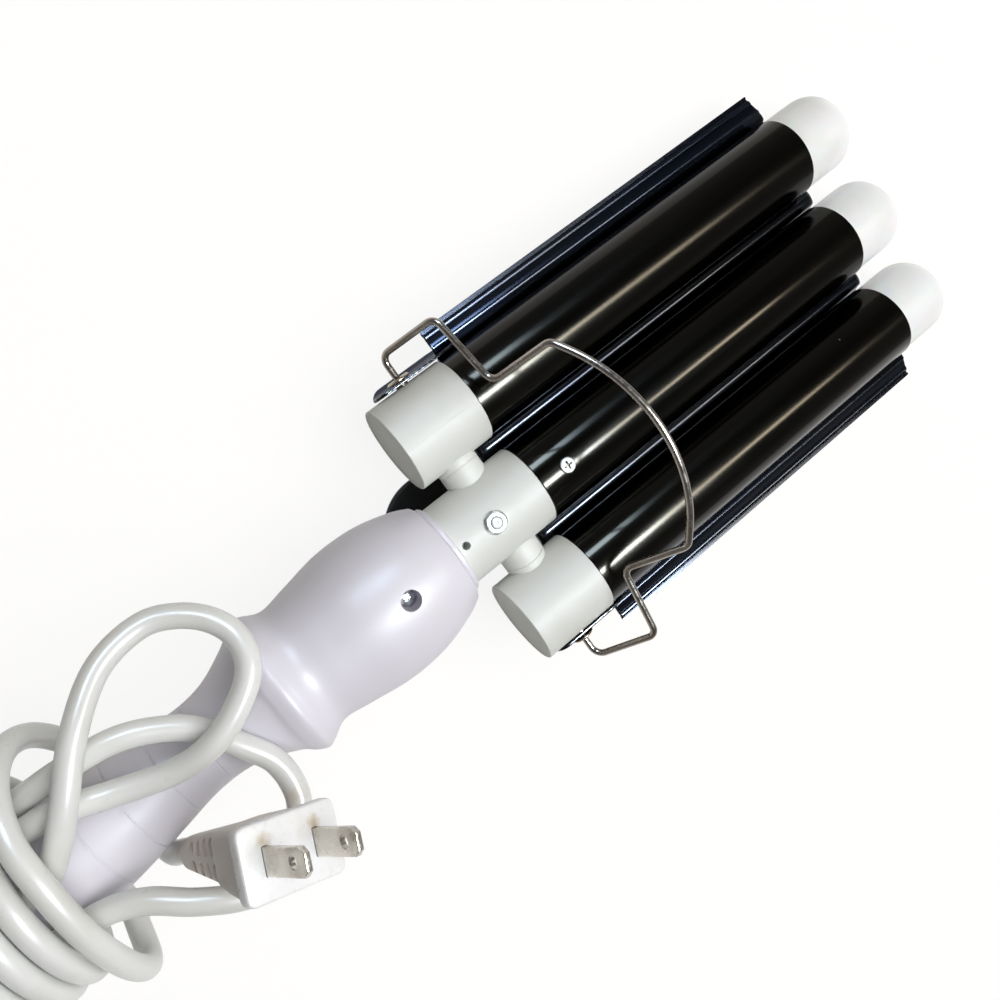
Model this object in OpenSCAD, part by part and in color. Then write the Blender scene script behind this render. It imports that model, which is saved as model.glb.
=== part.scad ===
// Hair waver: three heated barrels side by side, a sprung clamp plate, a wire rest and a handle whose
// cord is wound round its rear end.
// Every module is drawn with X along the barrels towards the tips, Y across them and Z towards the side
// of the wire rest; X is 0 at the rear faces of the outer caps. lie() then lays the whole part on a
// level surface, on the flat pad of the thumb lever and the tip edge of the clamp plate.

/* [Barrels] */
// Outer diameter of a barrel
barrel_d = 25.4; // [23:0.1:26]
// Wall of a barrel tube
barrel_wall = 1; // [0.6:0.1:1.4]
// Distance between neighbouring barrel axes
barrel_pitch = 30.4; // [30:0.1:33]
// Distance from the rear faces of the outer caps to the rims of the barrels
rim_x = 152.9; // [140:0.1:170]
// Straight length of a cool tip in front of its barrel
tip_straight = 12; // [8:0.5:16]
// Length of the dome of a cool tip
tip_dome = 10; // [8:0.5:13]
// Step from the barrel down to the cool tip
tip_step = 0.4; // [0.2:0.1:0.8]

/* [Heating] */
// Length of a heater plate
heater_l = 90; // [70:1:100]
// Width of a heater plate
heater_w = 14; // [10:0.5:16]
// Thickness of a heater plate
heater_t = 4; // [3:0.1:5]
// Distance from the rear faces of the outer caps to the heater plates
heater_x = 46; // [45:1:50]
// Diameter of a heater lead
lead_d = 2; // [1.4:0.1:2.2]

/* [Caps and housing] */
// Diameter of the two outer caps
cap_d = 26; // [25.6:0.1:26.4]
// Length of the two outer caps
cap_l = 24.2; // [23:0.1:26]
// Diameter of the centre housing
housing_d = 25.2; // [24.6:0.1:26]
// Reach of the centre housing in front of the caps' rear faces
housing_front = 25.4; // [24:0.1:27]
// Length of the spigots inside the barrels
spigot_l = 16; // [12:0.5:18]
// Wall of the spigots
spigot_wall = 1.8; // [1.4:0.1:2.4]
// Diameter of the collars that bridge the caps and the housing
collar_d = 12.5; // [11.5:0.1:14]
// Distance from the caps' rear faces to the collars
collar_x = 12; // [11:0.5:13]
// Diameter of the bolt through the centre housing
bolt_d = 3; // [2.5:0.1:3.2]
// Width of the bolt's nut across its flats
nut_af = 5.5; // [5:0.1:6]
// Distance from the caps' rear faces to the bolt
bolt_x = 8.5; // [7:0.5:9]
// Distance from the caps' rear faces to the screw in the middle barrel
barrel_screw_x = 34.4; // [31:0.1:36]

/* [Clamp] */
// Thickness of the clamp plate
plate_t = 0.9; // [0.7:0.05:1.2]
// Gap between the barrels and the clamp plate
plate_gap = 0.5; // [0.4:0.05:0.8]
// Distance from the caps' rear faces to the rear end of the clamp plate
plate_rear = 26.4; // [25:0.1:30]
// Rear edge of the plate between the barrels, beside the collars
web_rear = 19.6; // [19.6:0.1:25]
// Distance from the barrel rims to the tip end of the clamp plate
plate_over = 5.1; // [2:0.1:8]
// Width of the flange along each side of the clamp plate
flange_w = 9; // [7:0.5:11]
// Width of the clamp plate's side arms
arm_w = 8; // [7:0.1:10]
// Distance from the caps' rear faces to the hinge of the clamp plate and the wire rest
hinge_x = 12.6; // [11:0.1:14]
// Outer diameter of the hinge bushes
bush_d = 4; // [3.6:0.1:4.6]
// Radius of the thumb lever's round paddle
paddle_r = 18; // [15:0.5:19]
// Distance from the caps' rear faces to the centre of the paddle
paddle_x = 3; // [1:0.5:5]
// Depth of the paddle's flat pad below the barrel axes
paddle_depth = 29; // [28:0.5:32]
// Thickness of the thumb lever
lever_t = 2.4; // [2:0.1:3]
// Outer diameter of the clamp spring
spring_d = 8; // [7:0.5:10]
// Wire of the clamp spring
spring_wire = 0.9; // [0.7:0.1:1]

/* [Wire rest] */
// Wire diameter of the rest
rest_wire = 2; // [1.8:0.1:2.2]
// Angle of the rest above the barrels
rest_angle = 49.5; // [40:0.5:80]
// Distance from the middle barrel's axis to the outer legs of the rest
rest_leg_y = 53.2; // [51:0.1:56]
// Length of the outer legs
rest_leg_l = 21.5; // [20:0.1:25]
// Half the distance between the inner legs of the rest
rest_neck_y = 32; // [31:0.1:34]
// Distance from the hinge to the start of the front bow
rest_neck_l = 45; // [42:0.1:48]
// Radius of the front bow
rest_bow_r = 47.9; // [44:0.1:52]

/* [Handle] */
// Height of the handle's axis above the barrel axes
handle_lift = 1.2; // [0:0.1:2]
// Wall of the handle shells
handle_wall = 2.2; // [2:0.1:2.6]
// Diameter of the handle screws' heads
screw_head_d = 5; // [4.4:0.1:5.4]
// Distance from the caps' rear faces back to the front handle screw
front_screw_x = 23; // [22:0.5:24]
// Distance from the caps' rear faces back to the rear handle screw
rear_screw_x = 143; // [140:1:148]
// Width of the control panel
panel_w = 16; // [14:0.5:18]
// Thickness of the control panel
panel_t = 1.6; // [1.4:0.1:1.7]
// Width of a button
button_w = 9; // [7:0.5:10]
// Length of a button along the handle
button_l = 3.4; // [3:0.1:3.6]
// Travel of a button
button_travel = 0.8; // [0.5:0.1:0.8]
// Height of a button above the panel
button_proud = 1.2; // [1:0.1:1.6]
// Width of the circuit board
board_w = 20; // [18:0.5:21]

/* [Cord and plug] */
// Diameter of the mains cord
cord_d = 6.4; // [5:0.1:6.5]
// Length of the strain relief behind the handle
relief_l = 25; // [22:1:30]
// Loops of the cord's winding on the handle, without its part loop
wind_loops = 5; // [3:1:5]
// Width of the plug's face
plug_w = 25; // [23:0.5:27]
// Height of the plug's face
plug_h = 17; // [15:0.5:18]
// Length of the plug's body
plug_l = 21; // [18:0.5:24]
// Length of the plug's strain relief
plug_relief_l = 27; // [24:1:30]
// Distance between the two blades
blade_pitch = 12.7; // [12.5:0.1:13]
// Width of a blade
blade_w = 6.35; // [6:0.05:6.8]
// Thickness of a blade
blade_t = 1.5; // [1.4:0.05:1.8]
// Length of a blade in front of the plug's face
blade_l = 17.2; // [15:0.1:18.3]

/* [Hidden] */
$fn = 64;

fit = 0.1;          // gap of pieces that are fixed to each other
running = 0.3;      // gap of pieces that move past each other
cord_gap = 0.1;     // gap of the cord to the handle that it lies on

barrel_r = barrel_d / 2;
bore_r = barrel_r - barrel_wall;
spigot_r = bore_r - fit;
cap_r = cap_d / 2;
housing_r = housing_d / 2;
housing_rear = -8;
neck_r = 11;
neck_rear = -28.5;
neck_ring_r = 14;
collar_neck_r = 4.5;
collar_bore_r = 3.2;
bush_r = bush_d / 2;
wire_r = rest_wire / 2;
plate_in_r = barrel_r + plate_gap;
plate_out_r = plate_in_r + plate_t;
plate_tip = rim_x + plate_over;
arm_y = barrel_pitch + cap_r + 0.5;
bush_flange_t = 0.8;
screw_bore_r = 1.5;
boss_r = screw_head_d / 2 + 1.3;
cord_r = cord_d / 2;

// Slope of the plane through the lever's pad and the clamp plate's tip edge
tilt = atan((paddle_depth - plate_out_r) / (plate_tip - paddle_x));

// Outline of the handle: distance from the caps' rear faces and radius
handle_outline = [
    [-6, 15.5], [-11.5, 18.1], [-22, 20.8], [-34, 21.2], [-46, 19.3], [-54, 18.1], [-59, 20.3],
    [-61.5, 21.2], [-64.5, 19.7], [-68, 16.9], [-78, 12.6], [-89, 11.8], [-102, 13.8], [-116, 16],
    [-130, 17.1], [-148, 17.1], [-161, 16.4], [-165, 14.5]
];
handle_front = handle_outline[0][0];
handle_rear = handle_outline[len(handle_outline) - 1][0];
front_wall_x = handle_front - 3;
rear_wall_x = handle_rear + 3;

panel_front = -25;
panel_rear = -60.4;
window_front = -28.5;
window_rear = -41.5;
window_w = 12.6;
button_x = [-45.4, -50.2, -55];
board_top = -6.6;
board_t = 1.6;
board_front = -30;
board_rear = -60;
post_x = [-33, -57.5];
post_y = 7.9;

// Places along the swivel, behind the handle's rear wall
swivel_flange = rear_wall_x + 1;
swivel_front = rear_wall_x + 8;
relief_end = handle_rear - 0.4 - relief_l;

// Where the plug lies: the centre of its face, and its turn from facing up
plug_place = [-79, -21, 47];
plug_turn = [-14, 27.1, -32.9];

// Route of the cord from the strain relief to its winding on the handle: back under the winding, two
// loops over the waist of the handle, and up to the first turn
loops_route = [
    [-197, 0, 1.2], [-207, -2, 0.2], [-218, -2, 0.2], [-228, 2.7, 2.7], [-232.6, 11, 6.5], [-229, 20.5, 10.5],
    [-214, 24.5, 12], [-200, 21.5, 11.3], [-182, 18.6, 9.9], [-150, 18.4, 9.8], [-130, 19.2, 10.8],
    [-112, 19.7, 16.8], [-98, 18, 18], [-88.5, 13, 17.2], [-82, 7, 17], [-77, -2, 17.6],
    [-73, -12, 17.2], [-75, -23, 18.5], [-84, -30.7, 21.5], [-95, -31, 24.5], [-105.5, -23.5, 25],
    [-115, -15.5, 22.5], [-127, -12, 19], [-150, -11, 18.4], [-172, -12, 18.8], [-183, -15.5, 19.3],
    [-195, -18, 20], [-205, -12.5, 20.5], [-208, -2, 21], [-202, 7.5, 21.5], [-190, 10, 22],
    [-175, 5, 22], [-150, 1.8, 21.7], [-129, 2.4, 22], [-120.5, 7, 24.5], [-112, 15, 26.5],
    [-102, 25.5, 24], [-90, 33.8, 19], [-77.5, 35.5, 16], [-69, 32, 16.7], [-63.3, 26, 18.5],
    [-61.3, 19, 21], [-64, 12, 23.1], [-71.5, 6.8, 24.3], [-81, 3.6, 24], [-92, 3.6, 20.6],
    [-105, 8, 18.4], [-117, 13, 18.9], [-129, 14.2, 17], [-139.3, 13.2, 17.9], [-149.1, 9.8, 19.2],
    [-159.7, 9.8, 19.7], [-170.4, 19.2, 21.4], [-175, 24.6, 15.8]
];
// Route from the winding round the waist of the handle to the plug
tail_route = [
    [-129, -24, -17.5], [-130.5, -32.5, -12.5], [-130.5, -36.8, -4], [-129.5, -33.5, 7], [-127.5, -23.5, 20.5],
    [-126, -11, 29.3], [-125, 3, 32], [-124.5, 16, 29.5], [-122, 26.5, 21.5], [-119, 30.8, 9],
    [-116, 28, -5], [-113, 18, -15.5], [-111.5, 4, -20], [-112, -9.5, -19], [-112, -17.5, -13],
    [-109.8, -19.5, -6]
];

// ---- Shapes that several pieces use

function unit(v) = v / norm(v);
function arc(centre, r, from, to, n) =
    [for (k = [0:n]) let (a = from + (to - from) * k / n) centre + r * [cos(a), sin(a)]];
function curve_at(a, b, c, d, t) =
    0.5 * (2 * b + (c - a) * t + (2 * a - 5 * b + 4 * c - d) * t * t + (3 * b - a - 3 * c + d) * t * t * t);
// Points of a smooth curve through the points p, n of them for each stretch
function smooth(p, n) = let (last = len(p) - 1) concat(
    [for (i = [0:last - 1], k = [0:n - 1])
        curve_at(p[max(i - 1, 0)], p[i], p[i + 1], p[min(i + 2, last)], k / n)],
    [p[last]]);
function reversed(p) = [for (i = [len(p) - 1:-1:0]) p[i]];

// Level coordinates at the centre of the lever's pad, inside lie()
module level() translate([paddle_x, 0, -paddle_depth]) rotate([0, -tilt, 0]) children();
// The part as it lies, with the centre of the lever's pad at the origin
module lie() rotate([0, tilt, 0]) translate([-paddle_x, 0, paddle_depth]) children();

module along_x(from, to, r) translate([from, 0, 0]) rotate([0, 90, 0]) cylinder(h = to - from, r = r);
// A cylinder along Y, towards the side of s
module along_y(x, from, to, r, s) translate([x, s * from, 0]) rotate([-90 * s, 0, 0])
    cylinder(h = to - from, r = r);
module along_z(x, y, from, to, r) translate([x, y, from]) cylinder(h = to - from, r = r);
// A body turned about X from an outline of radii and places along X
module lathe_x(outline) rotate([0, 90, 0]) rotate_extrude() polygon(outline);
module half_lathe_x(outline, side) rotate([0, 90, 0]) rotate([0, 0, 90 * side]) rotate_extrude(angle = 180)
    polygon(outline);
// An outline with round ends along X
module slot(from, to, w) {
    translate([from, -w / 2]) square([to - from, w]);
    translate([from, 0]) circle(d = w);
    translate([to, 0]) circle(d = w);
}

// ---- Tubes along a path

function tangents(p, first, last) = [for (i = [0:len(p) - 1])
    i == 0 ? first : i == len(p) - 1 ? last : unit(p[i + 1] - p[i - 1])];
function across(n, t) = unit(n - (n * t) * t);
function side_vectors(t, start) = [for (i = 0, n = across(start, t[0]); i < len(t);
    i = i + 1, n = i < len(t) ? across(n, t[i]) : n) n];
function ring(p, t, n, r, sides) = [for (k = [0:sides - 1]) let (a = 360 * k / sides)
    p + r * (cos(a) * n + sin(a) * cross(t, n))];
module tube(p, first, last, r, sides, start) {
    t = tangents(p, first, last);
    n = side_vectors(t, start);
    rings = len(p);
    points = [for (i = [0:rings - 1]) each ring(p[i], t[i], n[i], r, sides)];
    walls = [for (i = [0:rings - 2], k = [0:sides - 1]) let (a = i * sides + k, b = i * sides + (k + 1) % sides)
        each [[a, a + sides, b], [b, a + sides, b + sides]]];
    first_cap = [for (k = [1:sides - 2]) [0, k, k + 1]];
    last_cap = [for (k = [1:sides - 2]) let (o = (rings - 1) * sides) [o, o + k + 1, o + k]];
    polyhedron(points, concat(walls, first_cap, last_cap));
}

// ---- Barrels and what heats them

module barrel(y, from) color("#17141a") translate([0, y, 0]) difference() {
    along_x(from, rim_x, barrel_r);
    along_x(from - 1, rim_x + 1, bore_r);
    if (y == 0) along_z(barrel_screw_x, 0, 0, barrel_r + 1, screw_bore_r + fit);
}

module cool_tip(y) color("#f1efec") translate([0, y, 0]) {
    r = barrel_r - tip_step;
    wall = 2;
    dome = [for (k = [0:8]) let (a = 90 * k / 8)
        [r * pow(cos(a), 0.8), rim_x + tip_straight + tip_dome * pow(sin(a), 0.8)]];
    lathe_x(concat(
        [[spigot_r - spigot_wall, rim_x - 9], [spigot_r, rim_x - 9], [spigot_r, rim_x], [r, rim_x]],
        [for (p = dome) [max(p.x, 0), p.y]],
        [[0, rim_x + tip_straight + tip_dome - wall], [spigot_r - spigot_wall, rim_x + tip_straight - 1]]));
}

module heater(y) color("#c9b48a") translate([heater_x, y - heater_w / 2, -heater_t / 2])
    cube([heater_l, heater_w, heater_t]);

// Two half-round bars that carry the heat from the plate to the barrel
module heat_spreader(y) color("#b9bcc0") translate([0, y, 0]) difference() {
    along_x(heater_x + 1, heater_x + heater_l - 1, bore_r - 0.15);
    translate([0, -barrel_r, -heater_t / 2 - 0.15]) cube([rim_x, barrel_d, heater_t + 0.3]);
}

module temperature_sensor() color("#d8c9a0")
    along_x(heater_x + heater_l + 0.2, heater_x + heater_l + 6, heater_t / 2 - 0.4);

// ---- Caps, housing and what joins them

module end_cap(s) color("#d3d3d0") translate([0, s * barrel_pitch, 0]) difference() {
    union() {
        lathe_x(concat([[0, 0]], arc([cap_r - 0.8, 0.8], 0.8, -90, 0, 3), [[cap_r, cap_l], [0, cap_l]]));
        along_x(cap_l - 1, cap_l + spigot_l, spigot_r);
    }
    along_x(2, cap_l + spigot_l + 1, spigot_r - spigot_wall);
    along_y(collar_x, 0, cap_r + 1, collar_neck_r + fit, -s);
    along_y(hinge_x, 0, cap_r + 1, bush_r + fit, s);
}

module centre_housing() color("#d3d3d0") difference() {
    union() {
        along_x(housing_rear, housing_front, housing_r);
        along_x(housing_front - 1, housing_front + spigot_l, spigot_r);
        along_x(neck_rear, housing_rear + 1, neck_r);
    }
    along_x(neck_rear - 1, housing_front + spigot_l + 1, spigot_r - spigot_wall - 1.2);
    for (s = [-1, 1]) along_y(collar_x, 0, housing_r + 1, collar_neck_r + fit, s);
    along_z(bolt_x, 0, -housing_r - 1, housing_r + 1, bolt_d / 2 + fit);
    along_z(bolt_x, 0, housing_r - 1, housing_r + 1, nut_af * 0.62);
    along_z(bolt_x, 0, -housing_r - 1, -housing_r + 1, bolt_d + 0.2);
    // Vent
    along_z(-1.7, 0, 0, housing_r + 1, 1.15);
    along_z(barrel_screw_x, 0, 0, barrel_r, screw_bore_r - 0.2);
    along_z(-front_screw_x, 0, -neck_r - 1, neck_r + 1, boss_r + fit);
}

module neck_ring() color("#e4dfe8") lathe_x(concat(
    [[housing_r + fit, handle_front], [neck_ring_r - 0.6, handle_front]],
    arc([neck_ring_r - 1, handle_front + 1.1], 1, -60, 60, 4),
    [[neck_ring_r - 0.6, handle_front + 2.2], [housing_r + fit, handle_front + 2.2]]));

module bridge_collar(s) color("#cfcfcb") difference() {
    union() {
        along_y(collar_x, housing_r - 2.8, barrel_pitch - cap_r + 2.4, collar_neck_r, s);
        difference() {
            along_y(collar_x, housing_r - 2, barrel_pitch - cap_r + 2, collar_d / 2, s);
            along_x(0, 30, housing_r + fit);
            translate([0, s * barrel_pitch, 0]) along_x(0, 30, cap_r + fit);
        }
    }
    along_y(collar_x, 0, barrel_pitch, collar_bore_r, s);
}

module housing_bolt() color("#c4c6c9") {
    along_z(bolt_x, 0, -housing_r + 1, housing_r + 1.6, bolt_d / 2);
    along_z(bolt_x, 0, -housing_r - 0.8, -housing_r + 1, bolt_d - 0.2);
}

module housing_nut() color("#c4c6c9") translate([bolt_x, 0, housing_r - 1]) difference() {
    cylinder(h = 2.2, r = nut_af / sqrt(3), $fn = 6);
    translate([0, 0, -1]) cylinder(h = 5, r = bolt_d / 2 + 0.03);
}

module barrel_screw() color("#d0d1d3") {
    along_z(barrel_screw_x, 0, bore_r - spigot_wall - 1.4, barrel_r + 0.05, screw_bore_r - 0.25);
    difference() {
        along_z(barrel_screw_x, 0, barrel_r + 0.05, barrel_r + 1.1, 2.25);
        for (a = [0, 90]) translate([barrel_screw_x, 0, barrel_r + 0.9]) rotate([0, 0, a])
            cube([2.4, 0.6, 0.8], center = true);
    }
}

// One two-core lead to each heater
module heater_leads() color("#b3402e") {
    r = lead_d / 2;
    inner_y = 6.2;
    lead_end_y = post_y - 1.7 - r - 0.4;
    for (s = [-1, 1]) {
        tube(smooth([
            [heater_x - 0.2, s * barrel_pitch, 0], [heater_x - 10, s * barrel_pitch, 0],
            [collar_x + 6, s * (barrel_pitch - 2), 0], [collar_x, s * (barrel_pitch - 10), 0],
            [collar_x, s * 13, 0], [collar_x - 2, s * 8.2, 0], [collar_x - 9, s * inner_y, 0],
            [-16, s * inner_y, 0], [-26, s * 5.4, -1.5], [-32, s * lead_end_y, -4],
            [board_front - 5, s * lead_end_y, board_top + r + 0.2]], 2),
            [-1, 0, 0], [0, 0, -1], r, 8, [0, 0, 1]);
    }
    tube(smooth([
        [heater_x - 0.2, 0, 0], [heater_x - 10, 0, 0], [collar_x + 14, 0, -2], [collar_x + 6, 2, -4],
        [bolt_x, 4.2, -4.6], [0, 5.2, -4.4], [-16, 6, -3.8], [-27, 4, -5], [board_front - 3, 2, -5]], 2),
        [-1, 0, 0], unit([-1, 0, -0.2]), r, 8, [0, 0, 1]);
}

// ---- Clamp

// Half thickness of a sheet on both sides of its middle line
module sheet(line, t) {
    last = len(line) - 1;
    normals = [for (i = [0:last]) let (d = unit(line[min(i + 1, last)] - line[max(i - 1, 0)])) [-d.y, d.x]];
    polygon(concat([for (i = [0:last]) line[i] + normals[i] * t / 2],
        [for (i = [last:-1:0]) line[i] - normals[i] * t / 2]));
}

// Cross-section of the plate: a trough under each barrel, a ridge between troughs and a crowned flange
// along each side
knee_z = -4.7;
plate_mid_r = plate_in_r + plate_t / 2;
knee_y = sqrt(pow(plate_mid_r, 2) - knee_z * knee_z);
knee_a = asin(-knee_z / plate_mid_r);
function trough(y) = arc([y, 0], plate_mid_r, 180 + knee_a, 360 - knee_a, 18);
function ridge(y) = let (r = barrel_pitch / 2 - knee_y, a = arc([y, knee_z], r, 180, 0, 8))
    [for (i = [1:7]) a[i]];
flange_line = [for (p = [[0.45, 0.6], [flange_w / 2, 0.95], [flange_w - 0.4, 0.2], [flange_w, -0.3]])
    [barrel_pitch + knee_y, knee_z] + p];
module clamp_plate_section() sheet(concat(
    [for (p = reversed(flange_line)) [-p.x, p.y]],
    trough(-barrel_pitch), ridge(-barrel_pitch / 2), trough(0), ridge(barrel_pitch / 2), trough(barrel_pitch),
    flange_line), plate_t);

module clamp_plate() color("#151218") difference() {
    union() {
        difference() {
            translate([web_rear, 0, 0]) rotate([90, 0, 90]) linear_extrude(plate_tip - web_rear)
                clamp_plate_section();
            // The plate stops short of the outer caps
            for (s = [-1, 1]) translate([web_rear - 1, s > 0 ? barrel_pitch : -barrel_pitch - 40, -30])
                cube([plate_rear - web_rear + 1, 40, 40]);
        }
        for (s = [-1, 1]) translate([0, s * (arm_y + plate_t / 2), -1.5]) {
            translate([hinge_x - 4.8, -plate_t / 2, -arm_w / 2]) cube([24, plate_t, arm_w]);
            translate([hinge_x - 4.8, -plate_t / 2, 0]) rotate([-90, 0, 0])
                cylinder(h = plate_t, r = arm_w / 2);
        }
    }
    for (s = [-1, 1]) along_y(hinge_x, barrel_pitch, 60, bush_r + 0.2, s);
    for (x = rivet_x) along_z(x, 0, -plate_out_r - 1, 0, rivet_r + 0.05);
}

rivet_x = [33.6, 40.6];
rivet_r = 1.5;
flange_y = barrel_pitch + knee_y + flange_w + plate_t / 2;
saddle_bottom = -plate_out_r - 3;
spring_r = spring_d / 2;
spring_l = 9.4;

// The clamp spring stands upright on the lever's pad
module spring_place() level() translate([-11.5, 0, lever_t]) children();

module thumb_lever() color("#1b1b1d") difference() {
    union() {
        level() {
            cylinder(h = lever_t, r = paddle_r);
            translate([0, -9, 0]) cube([paddle_r + 5, 18, lever_t]);
        }
        // Arm that rises from the pad to the saddle under the middle trough
        rotate([90, 0, 0]) translate([0, 0, -8]) linear_extrude(16) polygon([
            [17, -paddle_depth - 1.1], [24.5, -paddle_depth - 2], [30, saddle_bottom], [44, saddle_bottom],
            [44, -10], [28, -10], [27, saddle_bottom + 2], [20, -paddle_depth + lever_t]]);
        spring_place() translate([0, 0, -0.5]) cylinder(h = 1.7, r = spring_r - spring_wire - 0.5);
    }
    along_x(0, 60, plate_out_r + 0.05);
    for (x = rivet_x) along_z(x, 0, saddle_bottom - 1, 0, rivet_r + 0.05);
    level() translate([-50, -50, -20]) cube([100, 100, 20]);
}

module lever_rivets() color("#a9abad") for (x = rivet_x) {
    along_z(x, 0, saddle_bottom - 0.1, -plate_in_r - 0.05, rivet_r);
    along_z(x, 0, saddle_bottom - 1.1, saddle_bottom - 0.1, rivet_r + 1.2);
}

// Four turns of wire
module clamp_spring() color("#b9bbbe") spring_place() {
    turns = 4;
    r = spring_r - spring_wire / 2;
    foot = spring_wire / 2 + 0.05;
    rise = spring_l - 2 * foot;
    path = [for (k = [0:8 * turns]) let (a = 45 * k) [r * cos(a), r * sin(a), foot + rise * a / (360 * turns)]];
    tube(path, [0, 1, 0], [0, 1, 0], spring_wire / 2, 6, [1, 0, 0]);
}

module hinge_bush(s) color("#9b8f86") translate([0, s * barrel_pitch, 0]) difference() {
    union() {
        along_y(hinge_x, cap_r - 3.4, cap_r + 0.5 + plate_t + running + bush_flange_t, bush_r, s);
        along_y(hinge_x, cap_r + 0.5 + plate_t + running, cap_r + 0.5 + plate_t + running + bush_flange_t,
            bush_r + 1.6, s);
    }
    along_y(hinge_x, 0, cap_r + 10, wire_r + 0.15, s);
}

// ---- Wire rest

// Points of the bend at the corner b between the runs from a and to c
function bend(a, b, c, r, n) = let (
    u = unit(b - a), v = unit(c - b), turn = acos(u * v), left = u.x * v.y - u.y * v.x > 0 ? 1 : -1,
    centre = b - r * tan(turn / 2) * u + left * r * [-u.y, u.x], from = atan2(u.y, u.x) - 90 * left)
    arc(centre, r, from, from + left * turn, n);

module wire_rest() color("#a39a92") translate([hinge_x, 0, 0]) rotate([0, -rest_angle, 0]) {
    bend_r = 3;
    bow_centre = rest_neck_l + 12.4 - rest_bow_r;
    bow_end = asin(rest_neck_y / rest_bow_r) - 6;
    bow = arc([bow_centre, 0], rest_bow_r, bow_end, -bow_end, 14);
    bow_run = (rest_neck_y + 0.5 - bow[0].y) / cos(bow_end);
    corners = [
        [0, arm_y + 2], [0, rest_leg_y], [rest_leg_l - 0.3, rest_leg_y + 0.3],
        [rest_leg_l + 3, rest_neck_y - 0.6], bow[0] + bow_run * [-sin(bow_end), cos(bow_end)], bow[0]];
    half = concat([corners[0]],
        [for (i = [1:4]) each bend(corners[i - 1], corners[i], corners[i + 1], bend_r, 4)]);
    flat_path = concat(half, bow, [for (p = reversed(half)) [p.x, -p.y]]);
    tube([for (p = flat_path) [p.x, p.y, 0]], [0, 1, 0], [0, 1, 0], wire_r * 0.96, 10, [0, 0, 1]);
    for (s = [-1, 1]) along_y(0, arm_y - 3, arm_y + 2, wire_r, s);
}

// ---- Handle

handle_points = [for (p = smooth(handle_outline, 3)) [p.y, p.x]];
module on_handle_axis() translate([0, 0, handle_lift]) children();
function handle_r(x) = let (near = [for (i = [0:len(handle_points) - 2])
    if (handle_points[i].y >= x && handle_points[i + 1].y <= x) i][0],
    a = handle_points[near], b = handle_points[near + 1]) a.x + (b.x - a.x) * (x - a.y) / (b.y - a.y);

// Seat of the head of a handle screw, 7.5 below the surface
function screw_seat(x) = handle_lift + handle_r(-x) - 7.5;

// The handle's wall between two depths below its surface, from one place to another along it
module handle_wall_half(depth_out, depth_in, front, rear, side) {
    inside = [for (p = handle_points) if (p.y < front && p.y > rear) p];
    line = concat([[handle_r(front - 0.001), front]], inside, [[handle_r(rear + 0.001), rear]]);
    on_handle_axis() half_lathe_x(concat([for (p = line) [p.x - depth_out, p.y]],
        reversed([for (p = line) [p.x - depth_in, p.y]])), side);
}

module handle_half(side) {
    difference() {
        union() {
            handle_wall_half(0, handle_wall, handle_front - 0.01, handle_rear + 0.01, side);
            // Front wall
            on_handle_axis() half_lathe_x([[neck_r, handle_front], [15, handle_front], [15.3, front_wall_x],
                [neck_r, front_wall_x]], side);
        }
        along_x(front_wall_x - 1, handle_front + 1, housing_r + fit);
    }
    // Rear wall
    on_handle_axis() half_lathe_x([[swivel_bore_r, rear_wall_x], [15, rear_wall_x], [14, handle_rear],
        [swivel_bore_r, handle_rear]], side);
}

swivel_bore_r = 6.3;
swivel_neck_r = 6;
split_z = handle_lift;

module handle_shell_front() color("#e2dde6") difference() {
    union() {
        handle_half(1);
        intersection() {
            for (x = [front_screw_x, rear_screw_x]) along_z(-x, 0, split_z + 2.5, 22, boss_r);
            on_handle_axis() lathe_x(concat([for (p = handle_points) [p.x - 0.3, p.y]],
                [[0, handle_rear], [0, handle_front]]));
        }
    }
    for (x = [front_screw_x, rear_screw_x]) {
        along_z(-x, 0, screw_seat(x), 30, screw_head_d / 2 + 0.25);
        along_z(-x, 0, 0, 30, screw_bore_r);
    }
}

module panel_prism(grow, from, to) translate([0, 0, from]) linear_extrude(to - from)
    slot(panel_rear + panel_w / 2 - grow / 2, panel_front - panel_w / 2 + grow / 2, panel_w + grow);
module button_prism(x, grow, from, to) translate([x, 0, from]) linear_extrude(to - from)
    rotate([0, 0, 90]) slot(-(button_w - button_l) / 2, (button_w - button_l) / 2, button_l + grow);

module handle_shell_back() color("#e2dde6") difference() {
    union() {
        handle_half(-1);
        // Seat of the clamp spring
        spring_place() translate([0, 0, spring_l]) cylinder(h = 4.5, r = spring_r + 0.6);
        intersection() {
            union() {
                for (x = [front_screw_x, rear_screw_x]) along_z(-x, 0, -22, split_z + 2.4, boss_r);
                for (x = post_x, s = [-1, 1]) along_z(x, s * post_y, -22, board_top - board_t, 1.8);
            }
            on_handle_axis() lathe_x(concat([for (p = handle_points) [p.x - 0.3, p.y]],
                [[0, handle_rear], [0, handle_front]]));
        }
    }
    for (x = [front_screw_x, rear_screw_x]) along_z(-x, 0, -handle_r(-x) + 6, 20, 1.05);
    for (x = post_x, s = [-1, 1]) along_z(x, s * post_y, board_top - board_t - 5, 0, 0.8);
    // Pocket of the control panel and the opening behind it
    intersection() {
        handle_wall_half(-1, panel_t, panel_front + 2, panel_rear - 2, -1);
        panel_prism(2 * fit, -30, 0);
    }
    intersection() {
        handle_wall_half(-1, handle_wall + 1, panel_front, panel_rear, -1);
        panel_prism(-1.6, -30, 0);
    }
}

module control_panel() color("#101114") difference() {
    intersection() {
        handle_wall_half(0, panel_t, panel_front, panel_rear, -1);
        panel_prism(0, -30, 0);
    }
    translate([window_rear, -window_w / 2, -30]) cube([window_front - window_rear, window_w, 30]);
    for (x = button_x) button_prism(x, 2 * running, -30, 0);
}

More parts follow.
